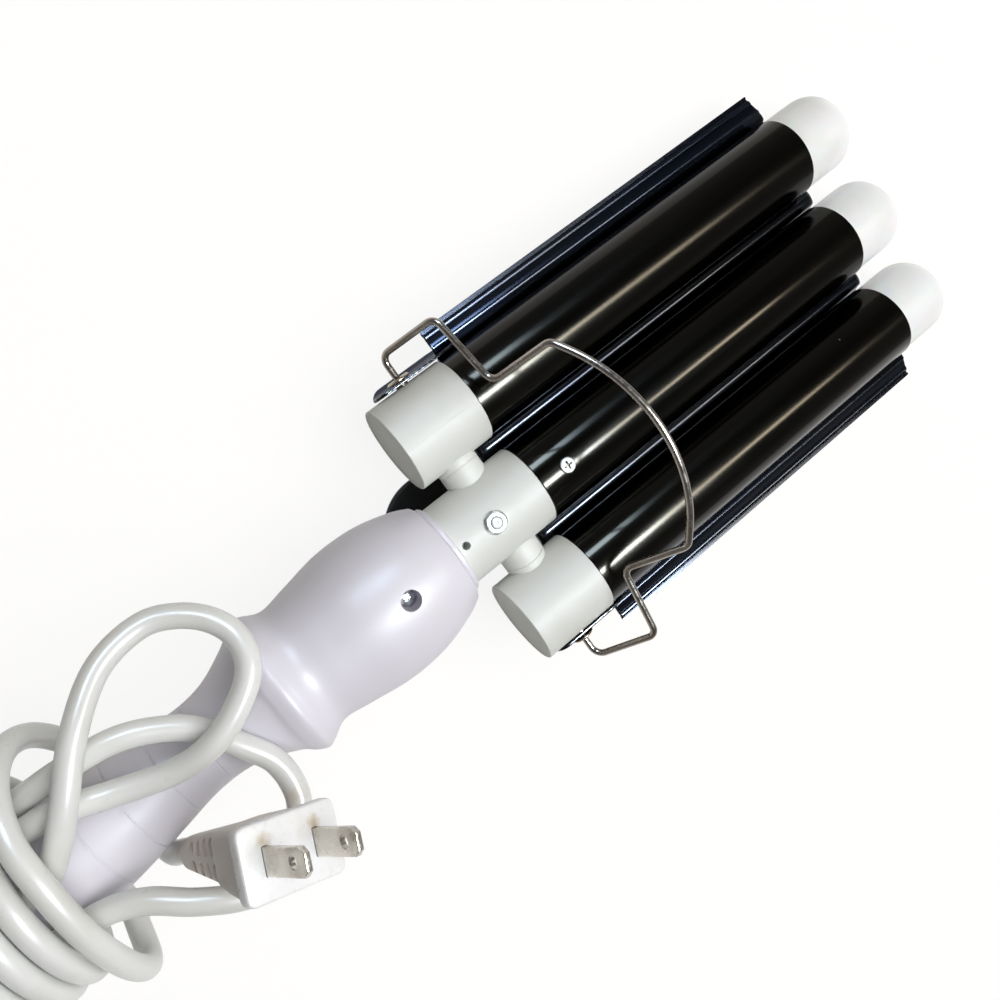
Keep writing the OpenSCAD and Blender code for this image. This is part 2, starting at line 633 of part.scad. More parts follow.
module display_window() color("#23262c") intersection() {
    handle_wall_half(0.2, panel_t, window_front + 1, window_rear - 1, -1);
    translate([window_rear + fit, -window_w / 2 + fit, -30])
        cube([window_front - window_rear - 2 * fit, window_w - 2 * fit, 30]);
}

module display_module() color("#7f8a86") translate([window_rear + 0.5, -window_w / 2 + 0.5, -15.9])
    cube([window_front - window_rear - 1, window_w - 1, board_top - board_t + 15.9]);

// Highest point of the panel's inner face beside a button, at the edge of its flange
flange_half_w = button_w / 2 + 0.7;
function panel_inside(x) = handle_lift - sqrt(pow(min(handle_r(x - 2.2), handle_r(x + 2.2)) - handle_wall, 2)
    - flange_half_w * flange_half_w);
module button(x) color("#c9c9cf") {
    flange_z = panel_inside(x) + running;
    button_prism(x, 0, handle_lift - handle_r(x) - button_proud, flange_z + 0.5);
    translate([x - button_l / 2 - 0.5, -flange_half_w, flange_z]) cube([button_l + 1, 2 * flange_half_w, 0.8]);
}

module tact_switches() color("#3a3a3c") for (x = button_x) {
    top = panel_inside(x) + running + 0.8 + button_travel + 0.2;
    translate([x - 2.1, -3, top + 0.5]) cube([4.2, 6, board_top - board_t - top - 0.5]);
    along_z(x, 0, top, top + 0.6, 1.3);
}

module circuit_board() color("#2f6b45") difference() {
    translate([board_rear, -board_w / 2, board_top - board_t]) cube([board_front - board_rear, board_w, board_t]);
    for (x = post_x, s = [-1, 1]) along_z(x, s * post_y, board_top - 5, board_top + 1, 1);
}

module board_screws() color("#c4c6c9") for (x = post_x, s = [-1, 1]) {
    along_z(x, s * post_y, board_top - board_t - 4, board_top, 0.78);
    along_z(x, s * post_y, board_top, board_top + 1.2, 1.7);
}

module board_parts() color("#4b4f57") {
    translate([-54, -8, board_top]) cube([11, 5, 9]);
    translate([-50, 1, board_top]) cube([9, 4, 6]);
    along_z(-57, 2.5, board_top, board_top + 10, 3);
}

module handle_screws() color("#b9bbbe") for (x = [front_screw_x, rear_screw_x]) {
    along_z(-x, 0, split_z - 8, screw_seat(x), 1);
    difference() {
        along_z(-x, 0, screw_seat(x), screw_seat(x) + 1.5, screw_head_d / 2);
        for (a = [0, 90]) translate([-x, 0, screw_seat(x) + 1.5]) rotate([0, 0, a])
            cube([2.6, 0.7, 1.4], center = true);
    }
}

module mains_lead() color("#8d8f92") tube(smooth([
    [swivel_front + 0.2, 0, handle_lift], [-146, 6.8, handle_lift], [-134, 6, handle_lift],
    [-110, 3, handle_lift], [-89, 0, handle_lift], [-75, 0, 0], [board_rear - 3, -2, board_top + 4],
    [board_rear + 3.5, -3.4, board_top + 2.2]], 2),
    [1, 0, 0], unit([1, 0, -0.4]), 2, 8, [0, 0, 1]);

module swivel_socket() color("#bfc1c4") on_handle_axis() lathe_x([[5.4, swivel_flange + 2.6],
    [handle_r(rear_wall_x) - handle_wall - 0.2, swivel_flange + 2.6],
    [handle_r(rear_wall_x) - handle_wall - 0.2, swivel_flange + 6], [5.4, swivel_flange + 6]]);

// Ball-ended relief that turns in the handle's rear wall
module cord_swivel() color("#e9e7ea") on_handle_axis() {
    ribs = 5;
    rib_l = (handle_rear - 0.4 - relief_end - 6) / ribs;
    lathe_x(concat(
        [[0, swivel_front], [5, swivel_front], [5, swivel_flange + 2.2], [9, swivel_flange + 2.2],
         [9, rear_wall_x + 0.3], [swivel_neck_r, rear_wall_x + 0.3], [swivel_neck_r, handle_rear - 0.4],
         [7.4, handle_rear - 0.4], [7.4, handle_rear - 4]],
        [for (k = [0:ribs - 1]) let (x = handle_rear - 4.4 - k * rib_l, r = 6.9 - 0.35 * k)
            each [[r - 1, x], [r - 1, x - 1], [r, x - 1], [r, x - rib_l + 0.2]]],
        [[cord_r + 0.9, relief_end], [0, relief_end]]));
}

// ---- Cord and plug

// Winding: oval loops over the strands that run along the handle. Its first loop leans to the rear.
wind_front = -129.4;
wind_pitch = 7;
wind_lean = 8;
wind_turn = 103;
wind_start = -10;
wind_centre = [1, 5.1];
wind_half = [25.8, 25.4];
wind_sweep = 360 * wind_loops + wind_turn;
wind_rear = wind_front - wind_pitch * wind_sweep / 360;
function wind_point(a) = [
    wind_rear + wind_pitch * a / 360 - wind_lean * pow(max(0, 1 - a / 300), 2),
    wind_centre.x + wind_half.x * cos(wind_start - a),
    wind_centre.y + wind_half.y * sin(wind_start - a)];
function wind_way(a) = unit(wind_point(a + 1) - wind_point(a - 1));
wind_in = wind_point(0) - cord_d * wind_way(0);
wind_out = wind_point(wind_sweep) + cord_d * wind_way(wind_sweep);
wind_steps = 24 * wind_loops + round(wind_turn / 15);
wind_path = concat([wind_in], [for (k = [0:wind_steps]) wind_point(wind_sweep * k / wind_steps)], [wind_out]);
plug_axis = [sin(plug_turn.x) * sin(plug_turn.z) + cos(plug_turn.x) * sin(plug_turn.y) * cos(plug_turn.z),
    -sin(plug_turn.x) * cos(plug_turn.z) + cos(plug_turn.x) * sin(plug_turn.y) * sin(plug_turn.z),
    cos(plug_turn.x) * cos(plug_turn.y)];
plug_end = plug_place - (plug_l + plug_relief_l) * plug_axis;

module cord_loops() color("#efecec") tube(
    concat([[relief_end, 0, handle_lift]], smooth(loops_route, 1), [wind_in]),
    [-1, 0, 0], wind_way(0), cord_r, 8, [0, 0, 1]);

module cord_winding() color("#efecec") tube(wind_path, wind_way(0), wind_way(wind_sweep), cord_r, 6, [1, 0, 0]);

module cord_tail() color("#efecec") tube(
    concat([wind_out], smooth(tail_route, 1), [plug_end - cord_d * plug_axis, plug_end]),
    wind_way(wind_sweep), plug_axis, cord_r, 8, [1, 0, 0]);

// Least gap of the winding to itself, between points half a turn or more apart
wind_gap = min([for (i = [0:len(wind_path) - 1], j = [i + 12:1:len(wind_path) - 1])
    norm(wind_path[i] - wind_path[j])]) - cord_d;
echo(least_gap_of_the_winding = wind_gap);

module at_plug() translate(plug_place) rotate(plug_turn) children();

module plug_body() color("#eeedec") at_plug() difference() {
    hull() {
        for (x = [-1, 1], y = [-1, 1]) translate([x * (plug_w / 2 - 2.5), y * (plug_h / 2 - 2.5), -5])
            cylinder(h = 5, r = 2.5, $fn = 32);
        for (x = [-1, 1], y = [-1, 1]) translate([x * (plug_w / 2 - 6), y * (plug_h / 2 - 4), -plug_l])
            cylinder(h = 1, r = 2.5, $fn = 32);
    }
    for (s = [-1, 1]) translate([s * blade_pitch / 2, 0, -4])
        cube([blade_t + 2 * fit, blade_w + 2 * fit, 8.02], center = true);
}

module plug_blades() color("#b8b4ac") at_plug() for (s = [-1, 1]) translate([s * blade_pitch / 2, 0, 0])
    difference() {
        translate([-blade_t / 2, -blade_w / 2, -7.8]) cube([blade_t, blade_w, blade_l + 7.8 - 1]);
        translate([-5, 0, 11.8]) rotate([0, 90, 0]) cylinder(h = 10, r = 1.75);
    }

module plug_relief() color("#e6e2df") at_plug() {
    ribs = 5;
    rib_l = (plug_relief_l - 3) / ribs;
    rotate_extrude() polygon(concat([[0, -plug_l], [6.1, -plug_l]],
        [for (k = [0:ribs - 1]) let (z = -plug_l - k * rib_l, r = 6.1 - 0.4 * k)
            each [[r, z - rib_l + 1.2], [r - 1.2, z - rib_l + 1.2], [r - 1.2, z - rib_l]]],
        [[cord_r + 0.7, -plug_l - plug_relief_l], [0, -plug_l - plug_relief_l]]));
}

lie() barrel(barrel_pitch, cap_l);  // barrel_left
lie() barrel(0, housing_front);  // barrel_middle
lie() barrel(-barrel_pitch, cap_l);  // barrel_right
lie() cool_tip(barrel_pitch);  // cool_tip_left
lie() cool_tip(0);  // cool_tip_middle
lie() cool_tip(-barrel_pitch);  // cool_tip_right
lie() heater(barrel_pitch);  // heater_left
lie() heater(0);  // heater_middle
lie() heater(-barrel_pitch);  // heater_right
lie() heat_spreader(barrel_pitch);  // heat_spreader_left
lie() heat_spreader(0);  // heat_spreader_middle
lie() heat_spreader(-barrel_pitch);  // heat_spreader_right
lie() temperature_sensor();
lie() end_cap(1);  // end_cap_left
lie() end_cap(-1);  // end_cap_right
lie() centre_housing();
lie() neck_ring();
lie() bridge_collar(1);  // bridge_collar_left
lie() bridge_collar(-1);  // bridge_collar_right
lie() housing_bolt();
lie() housing_nut();
lie() barrel_screw();
lie() heater_leads();
lie() clamp_plate();
lie() thumb_lever();
lie() lever_rivets();
lie() clamp_spring();
lie() hinge_bush(1);  // hinge_bush_left
lie() hinge_bush(-1);  // hinge_bush_right
lie() wire_rest();
lie() handle_shell_front();
lie() handle_shell_back();
lie() handle_screws();
lie() control_panel();
lie() display_window();
lie() display_module();
lie() button(button_x[0]);  // button_plus
lie() button(button_x[1]);  // button_minus
lie() button(button_x[2]);  // button_power
lie() tact_switches();
lie() circuit_board();
lie() board_screws();
lie() board_parts();
lie() mains_lead();
lie() swivel_socket();
lie() cord_swivel();
lie() cord_loops();
lie() cord_winding();
lie() cord_tail();
lie() plug_body();
lie() plug_blades();
lie() plug_relief();
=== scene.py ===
"""Three-barrel hair waver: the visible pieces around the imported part."""
import math
import bpy
import bmesh
from bpy.props import FloatProperty, FloatVectorProperty, IntProperty, PointerProperty
from mathutils import Euler, Matrix, Vector


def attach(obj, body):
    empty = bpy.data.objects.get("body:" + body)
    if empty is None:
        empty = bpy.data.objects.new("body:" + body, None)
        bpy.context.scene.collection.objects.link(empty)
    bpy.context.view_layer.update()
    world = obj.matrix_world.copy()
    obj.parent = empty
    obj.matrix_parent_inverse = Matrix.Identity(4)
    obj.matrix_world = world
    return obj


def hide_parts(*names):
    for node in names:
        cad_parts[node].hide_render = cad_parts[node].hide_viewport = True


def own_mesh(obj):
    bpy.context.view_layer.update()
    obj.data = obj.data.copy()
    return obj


bl_info = {
    "name": "Hair Waver",
    "version": (1, 0, 0),
    "blender": (4, 5, 0),
    "location": "3D View > Sidebar > Hair Waver",
    "description": "Builds a three-barrel hair waver with its clamp, wire rest, handle, cord and plug",
    "category": "Add Mesh",
}

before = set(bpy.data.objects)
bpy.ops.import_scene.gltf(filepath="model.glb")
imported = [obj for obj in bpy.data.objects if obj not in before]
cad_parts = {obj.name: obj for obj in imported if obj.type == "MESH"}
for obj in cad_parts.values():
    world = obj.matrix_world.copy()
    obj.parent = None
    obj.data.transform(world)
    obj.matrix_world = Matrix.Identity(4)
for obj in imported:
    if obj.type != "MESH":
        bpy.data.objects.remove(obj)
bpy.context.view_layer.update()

# Sizes of the part's source, in millimetres, with X along the barrels and Z towards the wire rest
TILT = math.atan((29 - 14.1) / (158 - 3))
BARREL_R, PITCH, RIM = 12.7, 30.4, 152.9
CAP_R, CAP_L, HOUSING_R, HOUSING_FRONT = 13.0, 24.2, 12.6, 25.4
COLLAR_X, COLLAR_R, BOLT_X, SCREW_X, NUT_FLATS = 12.0, 6.25, 8.5, 34.4, 5.5
PLATE_IN, PLATE_T, PLATE_REAR, WEB_REAR, PLATE_TIP, KNEE_Z = 13.2, 0.9, 26.4, 19.6, 158.0, -4.7
HINGE_X, ARM_Y = 12.6, 43.9
LIFT = 1.2
SPRING_AT = (-11.5, 0.0, 2.4)
OUTLINE = [
    (-6, 15.5), (-11.5, 18.1), (-22, 20.8), (-34, 21.2), (-46, 19.3), (-54, 18.1), (-59, 20.3),
    (-61.5, 21.2), (-64.5, 19.7), (-68, 16.9), (-78, 12.6), (-89, 11.8), (-102, 13.8), (-116, 16),
    (-130, 17.1), (-148, 17.1), (-161, 16.4), (-165, 14.5),
]
GROOVES = (-84.6, -95.5, -106.7, -117.4, -128.3, -139.2, -150.1)
HANDLE_SCREWS = (-23.0, -143.0)
BUTTON_X = (-45.4, -50.2, -55.0)
RELIEF_END = -190.4
CORD_R = 3.2
LOOPS = [
    (-197, 0, 1.2), (-207, -2, 0.2), (-218, -2, 0.2), (-228, 2.7, 2.7), (-232.6, 11, 6.5),
    (-229, 20.5, 10.5), (-214, 24.5, 12), (-200, 21.5, 11.3), (-182, 18.6, 9.9), (-150, 18.4, 9.8),
    (-130, 19.2, 10.8), (-112, 19.7, 16.8), (-98, 18, 18), (-88.5, 13, 17.2), (-82, 7, 17),
    (-77, -2, 17.6), (-73, -12, 17.2), (-75, -23, 18.5), (-84, -30.7, 21.5), (-95, -31, 24.5),
    (-105.5, -23.5, 25), (-115, -15.5, 22.5), (-127, -12, 19), (-150, -11, 18.4), (-172, -12, 18.8),
    (-183, -15.5, 19.3), (-195, -18, 20), (-205, -12.5, 20.5), (-208, -2, 21), (-202, 7.5, 21.5),
    (-190, 10, 22), (-175, 5, 22), (-150, 1.8, 21.7), (-129, 2.4, 22), (-120.5, 7, 24.5),
    (-112, 15, 26.5), (-102, 25.5, 24), (-90, 33.8, 19), (-77.5, 35.5, 16), (-69, 32, 16.7),
    (-63.3, 26, 18.5), (-61.3, 19, 21), (-64, 12, 23.1), (-71.5, 6.8, 24.3), (-81, 3.6, 24),
    (-92, 3.6, 20.6), (-105, 8, 18.4), (-117, 13, 18.9), (-129, 14.2, 17), (-139.3, 13.2, 17.9),
    (-149.1, 9.8, 19.2), (-159.7, 9.8, 19.7), (-170.4, 19.2, 21.4), (-175, 24.6, 15.8),
]
TAIL = [
    (-129, -24, -17.5), (-130.5, -32.5, -12.5), (-130.5, -36.8, -4), (-129.5, -33.5, 7),
    (-127.5, -23.5, 20.5), (-126, -11, 29.3), (-125, 3, 32), (-124.5, 16, 29.5), (-122, 26.5, 21.5),
    (-119, 30.8, 9), (-116, 28, -5), (-113, 18, -15.5), (-111.5, 4, -20), (-112, -9.5, -19),
    (-112, -17.5, -13), (-109.8, -19.5, -6),
]
WIND = dict(front=-129.4, pitch=7.0, lean=8.0, turn=103, loops=5, start=-10, cy=1.0, cz=5.1, hy=25.8,
            hz=25.4)
PLUG_PLACE, PLUG_TURN = Vector((-79, -21, 47)), (-14, 27.1, -32.9)
PLUG_W, PLUG_H, PLUG_L, RELIEF_L, BLADE_PITCH = 25.0, 17.0, 21.0, 27.0, 12.7

# Shapes that only this file has. Collars: shares of their length, and how much thinner they are there
COLLAR_STEPS = (
    (0, 0.22), (0.07, 0.06), (0.14, 0), (0.3, 0), (0.5, 0), (0.66, 0), (0.7, 0.04), (0.715, 0.26),
    (0.735, 0.26), (0.75, 0.04), (0.79, 0), (0.88, 0), (0.95, 0.06), (1, 0.22))
# Height at which the lower edge of the plate's arms starts to flare
FLARE_Z = -2.6
# The bars of each button's sign: two corners from its centre, how deep it sinks and how far it stands out
MARK_BARS = {
    "plus": ((-0.16, -1.0, 0.16, 1.0, 0.05, 0.25), (-1.0, -0.16, 1.0, 0.16, 0.05, 0.25)),
    "minus": ((-0.16, -1.0, 0.16, 1.0, 0.05, 0.25),),
    "power": ((0.1, -0.13, 1.2, 0.13, 0.06, 0.2),),
}
# Edges that handling rubs: their least angle, and the greatest width of the face along them, in metres
WORN_ANGLE, WORN_WIDTH = 0.17, 0.00045

# The photo's camera, solved from points of the part: its place, its right, down and ahead, and its lens
CAMERA_AT, LENS = (-45.907, 55.727, 255.830), 34.115
CAMERA_AXES = (
    (0.76088068, -0.57218609, 0.30604521), (-0.6063957, -0.79487233, 0.02149971),
    (0.23096503, -0.20194321, -0.95177418))
# Lamps: place in metres along the part's own axes, length, width, power, tint, and the rays that see them
LAMPS = (
    ("key", (0.32, -0.26, 1.12), 0.9, 0.9, 10.5, (1, 0.995, 0.99), "diffuse"),
    ("fill", (0.5, 0.5, 0.9), 0.8, 0.8, 1.5, (1, 0.95, 0.88), "diffuse"),
    ("strip_near", (0.16, -0.21, 0.645), 0.24, 0.11, 9.0, (0.82, 0.92, 1), "glossy"),
    ("strip_fade", (0.41, -0.21, 0.645), 0.26, 0.07, 1.3, (1, 0.92, 0.78), "glossy"),
    ("strip_far", (0.10, 0.45, 0.56), 0.36, 0.16, 4.5, (0.62, 0.8, 1), "glossy"),
)

COS, SIN = math.cos(TILT), math.sin(TILT)
# From the part's own millimetres to the frame's metres
PLACE = Matrix.Scale(0.001, 4) @ Matrix((
    (COS, 0, SIN, -3 * COS + 29 * SIN), (0, 1, 0, 0), (-SIN, 0, COS, 3 * SIN + 29 * COS), (0, 0, 0, 1)))
LEVEL = Matrix.Scale(0.001, 4)
PLUG_ROTATION = Euler([math.radians(a) for a in PLUG_TURN], "XYZ").to_matrix().to_4x4()
PLUG = Matrix.Translation(PLUG_PLACE) @ PLUG_ROTATION
PLUG_AXIS = PLUG.to_3x3() @ Vector((0, 0, 1))


# ---- Lines and outlines

def smooth_line(points, steps):
    """A Catmull-Rom line through the points, with that many steps between two of them."""
    pts = [Vector(p) for p in points]
    last = len(pts) - 1
    out = []
    for i in range(last):
        a, b, c, d = pts[max(i - 1, 0)], pts[i], pts[i + 1], pts[min(i + 2, last)]
        for k in range(steps):
            t = k / steps
            out.append(0.5 * (2 * b + (c - a) * t + (2 * a - 5 * b + 4 * c - d) * t * t
                              + (3 * b - a - 3 * c + d) * t ** 3))
    return out + [pts[last]]


def arc(cu, cv, r, start, end, steps):
    return [(cu + r * math.cos(math.radians(start + (end - start) * k / steps)),
             cv + r * math.sin(math.radians(start + (end - start) * k / steps))) for k in range(steps + 1)]


def filleted(corners, closed=False, steps=4):
    """Rounds the corners (u, v, radius) of an outline."""
    out, n = [], len(corners)
    for i, (u, v, r) in enumerate(corners):
        here = Vector((u, v))
        if r <= 0 or (not closed and i in (0, n - 1)):
            out.append((u, v))
            continue
        to_last = (Vector(corners[i - 1][:2]) - here)
        to_next = (Vector(corners[(i + 1) % n][:2]) - here)
        half = to_last.angle(to_next) / 2
        cut = min(r / math.tan(half), to_last.length * 0.49, to_next.length * 0.49)
        a, b = here + to_last.normalized() * cut, here + to_next.normalized() * cut
        for k in range(steps + 1):
            t = k / steps
            out.append(tuple((1 - t) ** 2 * a + 2 * t * (1 - t) * here + t * t * b))
    return out


def handle_radius(x):
    """The radius of the handle's outside at a place along it."""
    pts = HANDLE_LINE
    for a, b in zip(pts, pts[1:]):
        if b[0] <= x <= a[0]:
            return a[1] + (b[1] - a[1]) * (x - a[0]) / (b[0] - a[0])
    return pts[0][1] if x > pts[0][0] else pts[-1][1]


HANDLE_LINE = [tuple(p) for p in smooth_line(OUTLINE, 12)]


def wind_point(angle):
    """The point of the winding round the handle after that many degrees from its rear end."""
    w = WIND
    sweep = 360 * w["loops"] + w["turn"]
    rear = w["front"] - w["pitch"] * sweep / 360
    a = math.radians(w["start"] - angle)
    return Vector((rear + w["pitch"] * angle / 360 - w["lean"] * max(0, 1 - angle / 300) ** 2,
                   w["cy"] + w["hy"] * math.cos(a), w["cz"] + w["hz"] * math.sin(a)))


def cord_route():
    """The cord from the strain relief, over the handle, round it and to the plug."""
    sweep = 360 * WIND["loops"] + WIND["turn"]
    steps = 24 * WIND["loops"] + round(WIND["turn"] / 15)
    first = (wind_point(1) - wind_point(-1)).normalized()
    last = (wind_point(sweep + 1) - wind_point(sweep - 1)).normalized()
    end = PLUG_PLACE - (PLUG_L + RELIEF_L) * PLUG_AXIS
    return ([Vector((RELIEF_END, 0, LIFT))] + [Vector(p) for p in LOOPS]
            + [wind_point(0) - 2 * CORD_R * first]
            + [wind_point(sweep * k / steps) for k in range(steps + 1)]
            + [wind_point(sweep) + 2 * CORD_R * last] + [Vector(p) for p in TAIL]
            + [end - 2 * CORD_R * PLUG_AXIS, end])


# ---- Meshes

def shape(name, verts, faces):
    mesh = bpy.data.meshes.new(name)
    mesh.from_pydata([tuple(v) for v in verts], [], faces)
    bm = bmesh.new()
    bm.from_mesh(mesh)
    bmesh.ops.remove_doubles(bm, verts=bm.verts, dist=1e-4)
    bmesh.ops.dissolve_degenerate(bm, edges=bm.edges, dist=1e-5)
    bmesh.ops.recalc_face_normals(bm, faces=bm.faces)
    bm.to_mesh(mesh)
    bm.free()
    return linked(name, mesh)


def loft(name, rings, folded=False):
    """A skin over closed rings of equally many points. Folded rings go out and come back along a wall."""
    n, m = len(rings), len(rings[0])
    faces = [(i * m + k, i * m + (k + 1) % m, (i + 1) * m + (k + 1) % m, (i + 1) * m + k)
             for i in range(n - 1) for k in range(m)]
    for end in (0, (n - 1) * m):
        if folded:
            faces += [(end + k, end + k + 1, end + m - 2 - k, end + m - 1 - k) for k in range(m // 2 - 1)]
        else:
            faces.append(tuple(range(end, end + m)))
    return shape(name, [v for ring in rings for v in ring], faces)


def about(axis, centre, u, place, angle):
    """A point at distance u from an axis, at that place along it."""
    c, s = u * math.cos(angle), u * math.sin(angle)
    offset = {"X": (place, c, s), "Y": (c, place, s), "Z": (c, s, place)}[axis]
    return tuple(a + b for a, b in zip(centre, offset))


def lathe(name, outline, axis="X", centre=(0, 0, 0), segments=96, seam=None):
    """A closed turned piece; a seam is an angle at which a fine line runs along it."""
    angles = [2 * math.pi * k / segments for k in range(segments)]
    depth = [0.0] * segments
    if seam is not None:
        at = math.radians(seam)
        angles = [a for a in angles if abs((a - at + math.pi) % (2 * math.pi) - math.pi) > 0.02]
        extra = [at - 0.012, at - 0.004, at + 0.004, at + 0.012]
        both = sorted([(a % (2 * math.pi), 0.0) for a in angles]
                      + [(a % (2 * math.pi), 0.05 if k in (1, 2) else 0.0) for k, a in enumerate(extra)])
        angles, depth = [b[0] for b in both], [b[1] for b in both]
    rings = [[about(axis, centre, max(u - (d if u > 2 else 0), 0), p, a) for u, p in outline]
             for a, d in zip(angles, depth)]
    n, m = len(rings), len(outline)
    faces = []
    for i in range(n):
        for k in range(m - 1):
            faces.append((i * m + k, i * m + k + 1, ((i + 1) % n) * m + k + 1, ((i + 1) % n) * m + k))
        if outline[0][0] > 1e-6:
            faces.append((i * m + m - 1, i * m, ((i + 1) % n) * m, ((i + 1) % n) * m + m - 1))
    return shape(name, [v for r in rings for v in r], faces)


def drill(axis, centre, radius, low, high, segments=40):
    """A plain round cutter along an axis."""
    return lathe("drill", [(0, low), (radius, low), (radius, high), (0, high)], axis, centre, segments)


def corners(u0, v0, u1, v1, *rest):
    """The corners of a rectangle, each followed by the rest, a rounding or a height."""
    return [(u0, v0, *rest), (u1, v0, *rest), (u1, v1, *rest), (u0, v1, *rest)]


def prism(name, outline, low, high, axes="XYZ"):
    """An outline pulled straight from low to high along the last of the axes."""
    order = ["XYZ".index(a) for a in axes]

    def at(u, v, w):
        p = [0, 0, 0]
        for i, value in zip(order, (u, v, w)):
            p[i] = value
        return p
    return loft(name, [[at(u, v, low) for u, v in outline], [at(u, v, high) for u, v in outline]])


def baked(obj, name, kind, **settings):
    """Adds a modifier and applies it."""
    mod = obj.modifiers.new(name, kind)
    for key, value in settings.items():
        setattr(mod, key, value)
    mesh = applied(obj)
    obj.modifiers.clear()
    obj.data = mesh
    return obj


def bevelled(obj, width, segments=3, angle=30):
    return baked(obj, "Rounded edges", "BEVEL", width=width, segments=segments, limit_method="ANGLE",
                 angle_limit=math.radians(angle), use_clamp_overlap=True)


def cut(obj, *cutters, operation="DIFFERENCE"):
    for cutter in cutters:
        baked(obj, "Cut", "BOOLEAN", operation=operation, object=cutter, solver="EXACT")
        bpy.data.objects.remove(cutter)
    return obj


def joined(first, *others):
    """Several meshes in one object, without cutting them into each other."""
    bm = bmesh.new()
    for o in (first, *others):
        bm.from_mesh(o.data)
    bm.to_mesh(first.data)
    bm.free()
    for o in others:
        bpy.data.objects.remove(o)
    return first


def mark_wear(mesh):
    """Marks the narrow rounded edges, where handling rubs a piece."""
    bm = bmesh.new()
    bm.from_mesh(mesh)
    layer = bm.faces.layers.float.new("wear")
    for f in bm.faces:
        sharp = sum(1 for e in f.edges if e.is_manifold and e.is_convex and e.calc_face_angle(0) > WORN_ANGLE)
        narrow = f.calc_area() < WORN_WIDTH * max(e.calc_length() for e in f.edges)
        f[layer] = 1.0 if sharp >= 2 and narrow else 0.0
    bm.to_mesh(mesh)
    bm.free()


def turned_shading(obj, radius, y=0.0):
    """Gives the wall of a turned piece, where it was cut into, the normals of a true cylinder."""
    back, turn = PLACE.inverted(), PLACE.to_3x3().normalized()
    mesh = obj.data
    normals = []
    for poly in mesh.polygons:
        for k in poly.vertices:
            p = back @ mesh.vertices[k].co
            out = Vector((0, p.y - y, p.z))
            true = turn @ out.normalized()
            wall = abs(out.length - radius) < 0.03 and poly.normal.dot(true) > 0.97  # a little play
            normals.append(true if wall else Vector((0, 0, 0)))
    mesh.normals_split_custom_set(normals)
    return obj


def finished(obj, material, body, slot, *nodes, place=PLACE, sharp=32):
    """Puts a piece in the frame, gives it its finish and lets it move with its body."""
    obj.data.transform(place)
    obj.data.materials.clear()
    obj.data.materials.append(MATERIALS[material])
    for p in obj.data.polygons:
        p.material_index = 0
        p.use_smooth = True
    mark_wear(obj.data)
    obj.data.set_sharp_from_angle(angle=math.radians(sharp))
    if nodes:
        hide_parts(*nodes)
    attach(obj, body)
    return obj


# ---- Node trees

def socket_key(text):
    return int(text) if text.isdigit() else text


def wired(tree, made, nodes, links):
    """Adds nodes by name, each a type, its settings and its sockets' values.

    Links are written "a.Output > b.Input", by a socket's name or its number.
    """
    for name, (kind, settings, values) in nodes.items():
        node = made[name] = tree.nodes.new(tree.bl_idname.replace("Tree", kind))
        for key, value in settings.items():
            setattr(node, key, value)
        for key, value in values.items():
            node.inputs[key].default_value = value
    for line in links.split(", "):
        (a, output), (b, socket) = (end.split(".") for end in line.split(" > "))
        tree.links.new(made[a].outputs[socket_key(output)], made[b].inputs[socket_key(socket)])
    return tree


def new_tree(kind, name, inputs, outputs, nodes, links):
    """A node group with sockets (label, type, value). Its own ends are the nodes "in" and "out"."""
    tree = bpy.data.node_groups.new(name, kind)
    for in_out, sockets in (("INPUT", inputs), ("OUTPUT", outputs)):
        for label, socket_type, value in sockets:
            socket = tree.interface.new_socket(label, in_out=in_out, socket_type="NodeSocket" + socket_type)
            if value is not None:
                socket.default_value = value
    ends = {"in": tree.nodes.new("NodeGroupInput"), "out": tree.nodes.new("NodeGroupOutput")}
    return wired(tree, ends, nodes, links)


# ---- Geometry node trees

def piece_tree(name, inputs, nodes, links):
    """A tree that makes a mesh for "real", makes its copies real and gives it its finish."""
    geometry = ("Geometry", "Geometry", None)
    return new_tree(
        "GeometryNodeTree", name, [geometry, *inputs, ("Finish", "Material", None)], [geometry],
        {**nodes, "real": ("RealizeInstances", {}, {}), "paint": ("SetMaterial", {}, {})},
        links + ", real.Geometry > paint.Geometry, in.Finish > paint.Material, paint.Geometry > out.Geometry")


def tube_tree():
    """A round tube along a curve, with closed ends."""
    return piece_tree(
        "Tube on a path", [("Radius", "Float", 0.001), ("Sides", "Int", 16), ("Step", "Float", 0.001)],
        {"points": ("ResampleCurve", {"mode": "LENGTH"}, {}), "circle": ("CurvePrimitiveCircle", {}, {}),
         "mesh": ("CurveToMesh", {}, {"Fill Caps": True})},
        "in.Geometry > points.Curve, in.Step > points.Length, in.Radius > circle.Radius, "
        "in.Sides > circle.Resolution, points.Curve > mesh.Curve, circle.Curve > mesh.Profile Curve, "
        "mesh.Mesh > real.Geometry")


def row_tree():
    """A row of copies of a mesh."""
    return piece_tree(
        "Row of copies", [("Count", "Int", 2), ("First", "Vector", None), ("Step", "Vector", None)],
        {"line": ("MeshLine", {"mode": "OFFSET"}, {}), "put": ("InstanceOnPoints", {}, {})},
        "in.Count > line.Count, in.First > line.Start Location, in.Step > line.Offset, "
        "line.Mesh > put.Points, in.Geometry > put.Instance, put.Instances > real.Geometry")


def applied(obj):
    """The mesh of an object with its modifiers applied."""
    bpy.context.view_layer.update()
    return bpy.data.meshes.new_from_object(obj.evaluated_get(bpy.context.evaluated_depsgraph_get()))


def linked(name, data):
    """A new object with that data, in the scene."""
    obj = bpy.data.objects.new(name, data)
    bpy.context.scene.collection.objects.link(obj)
    return obj


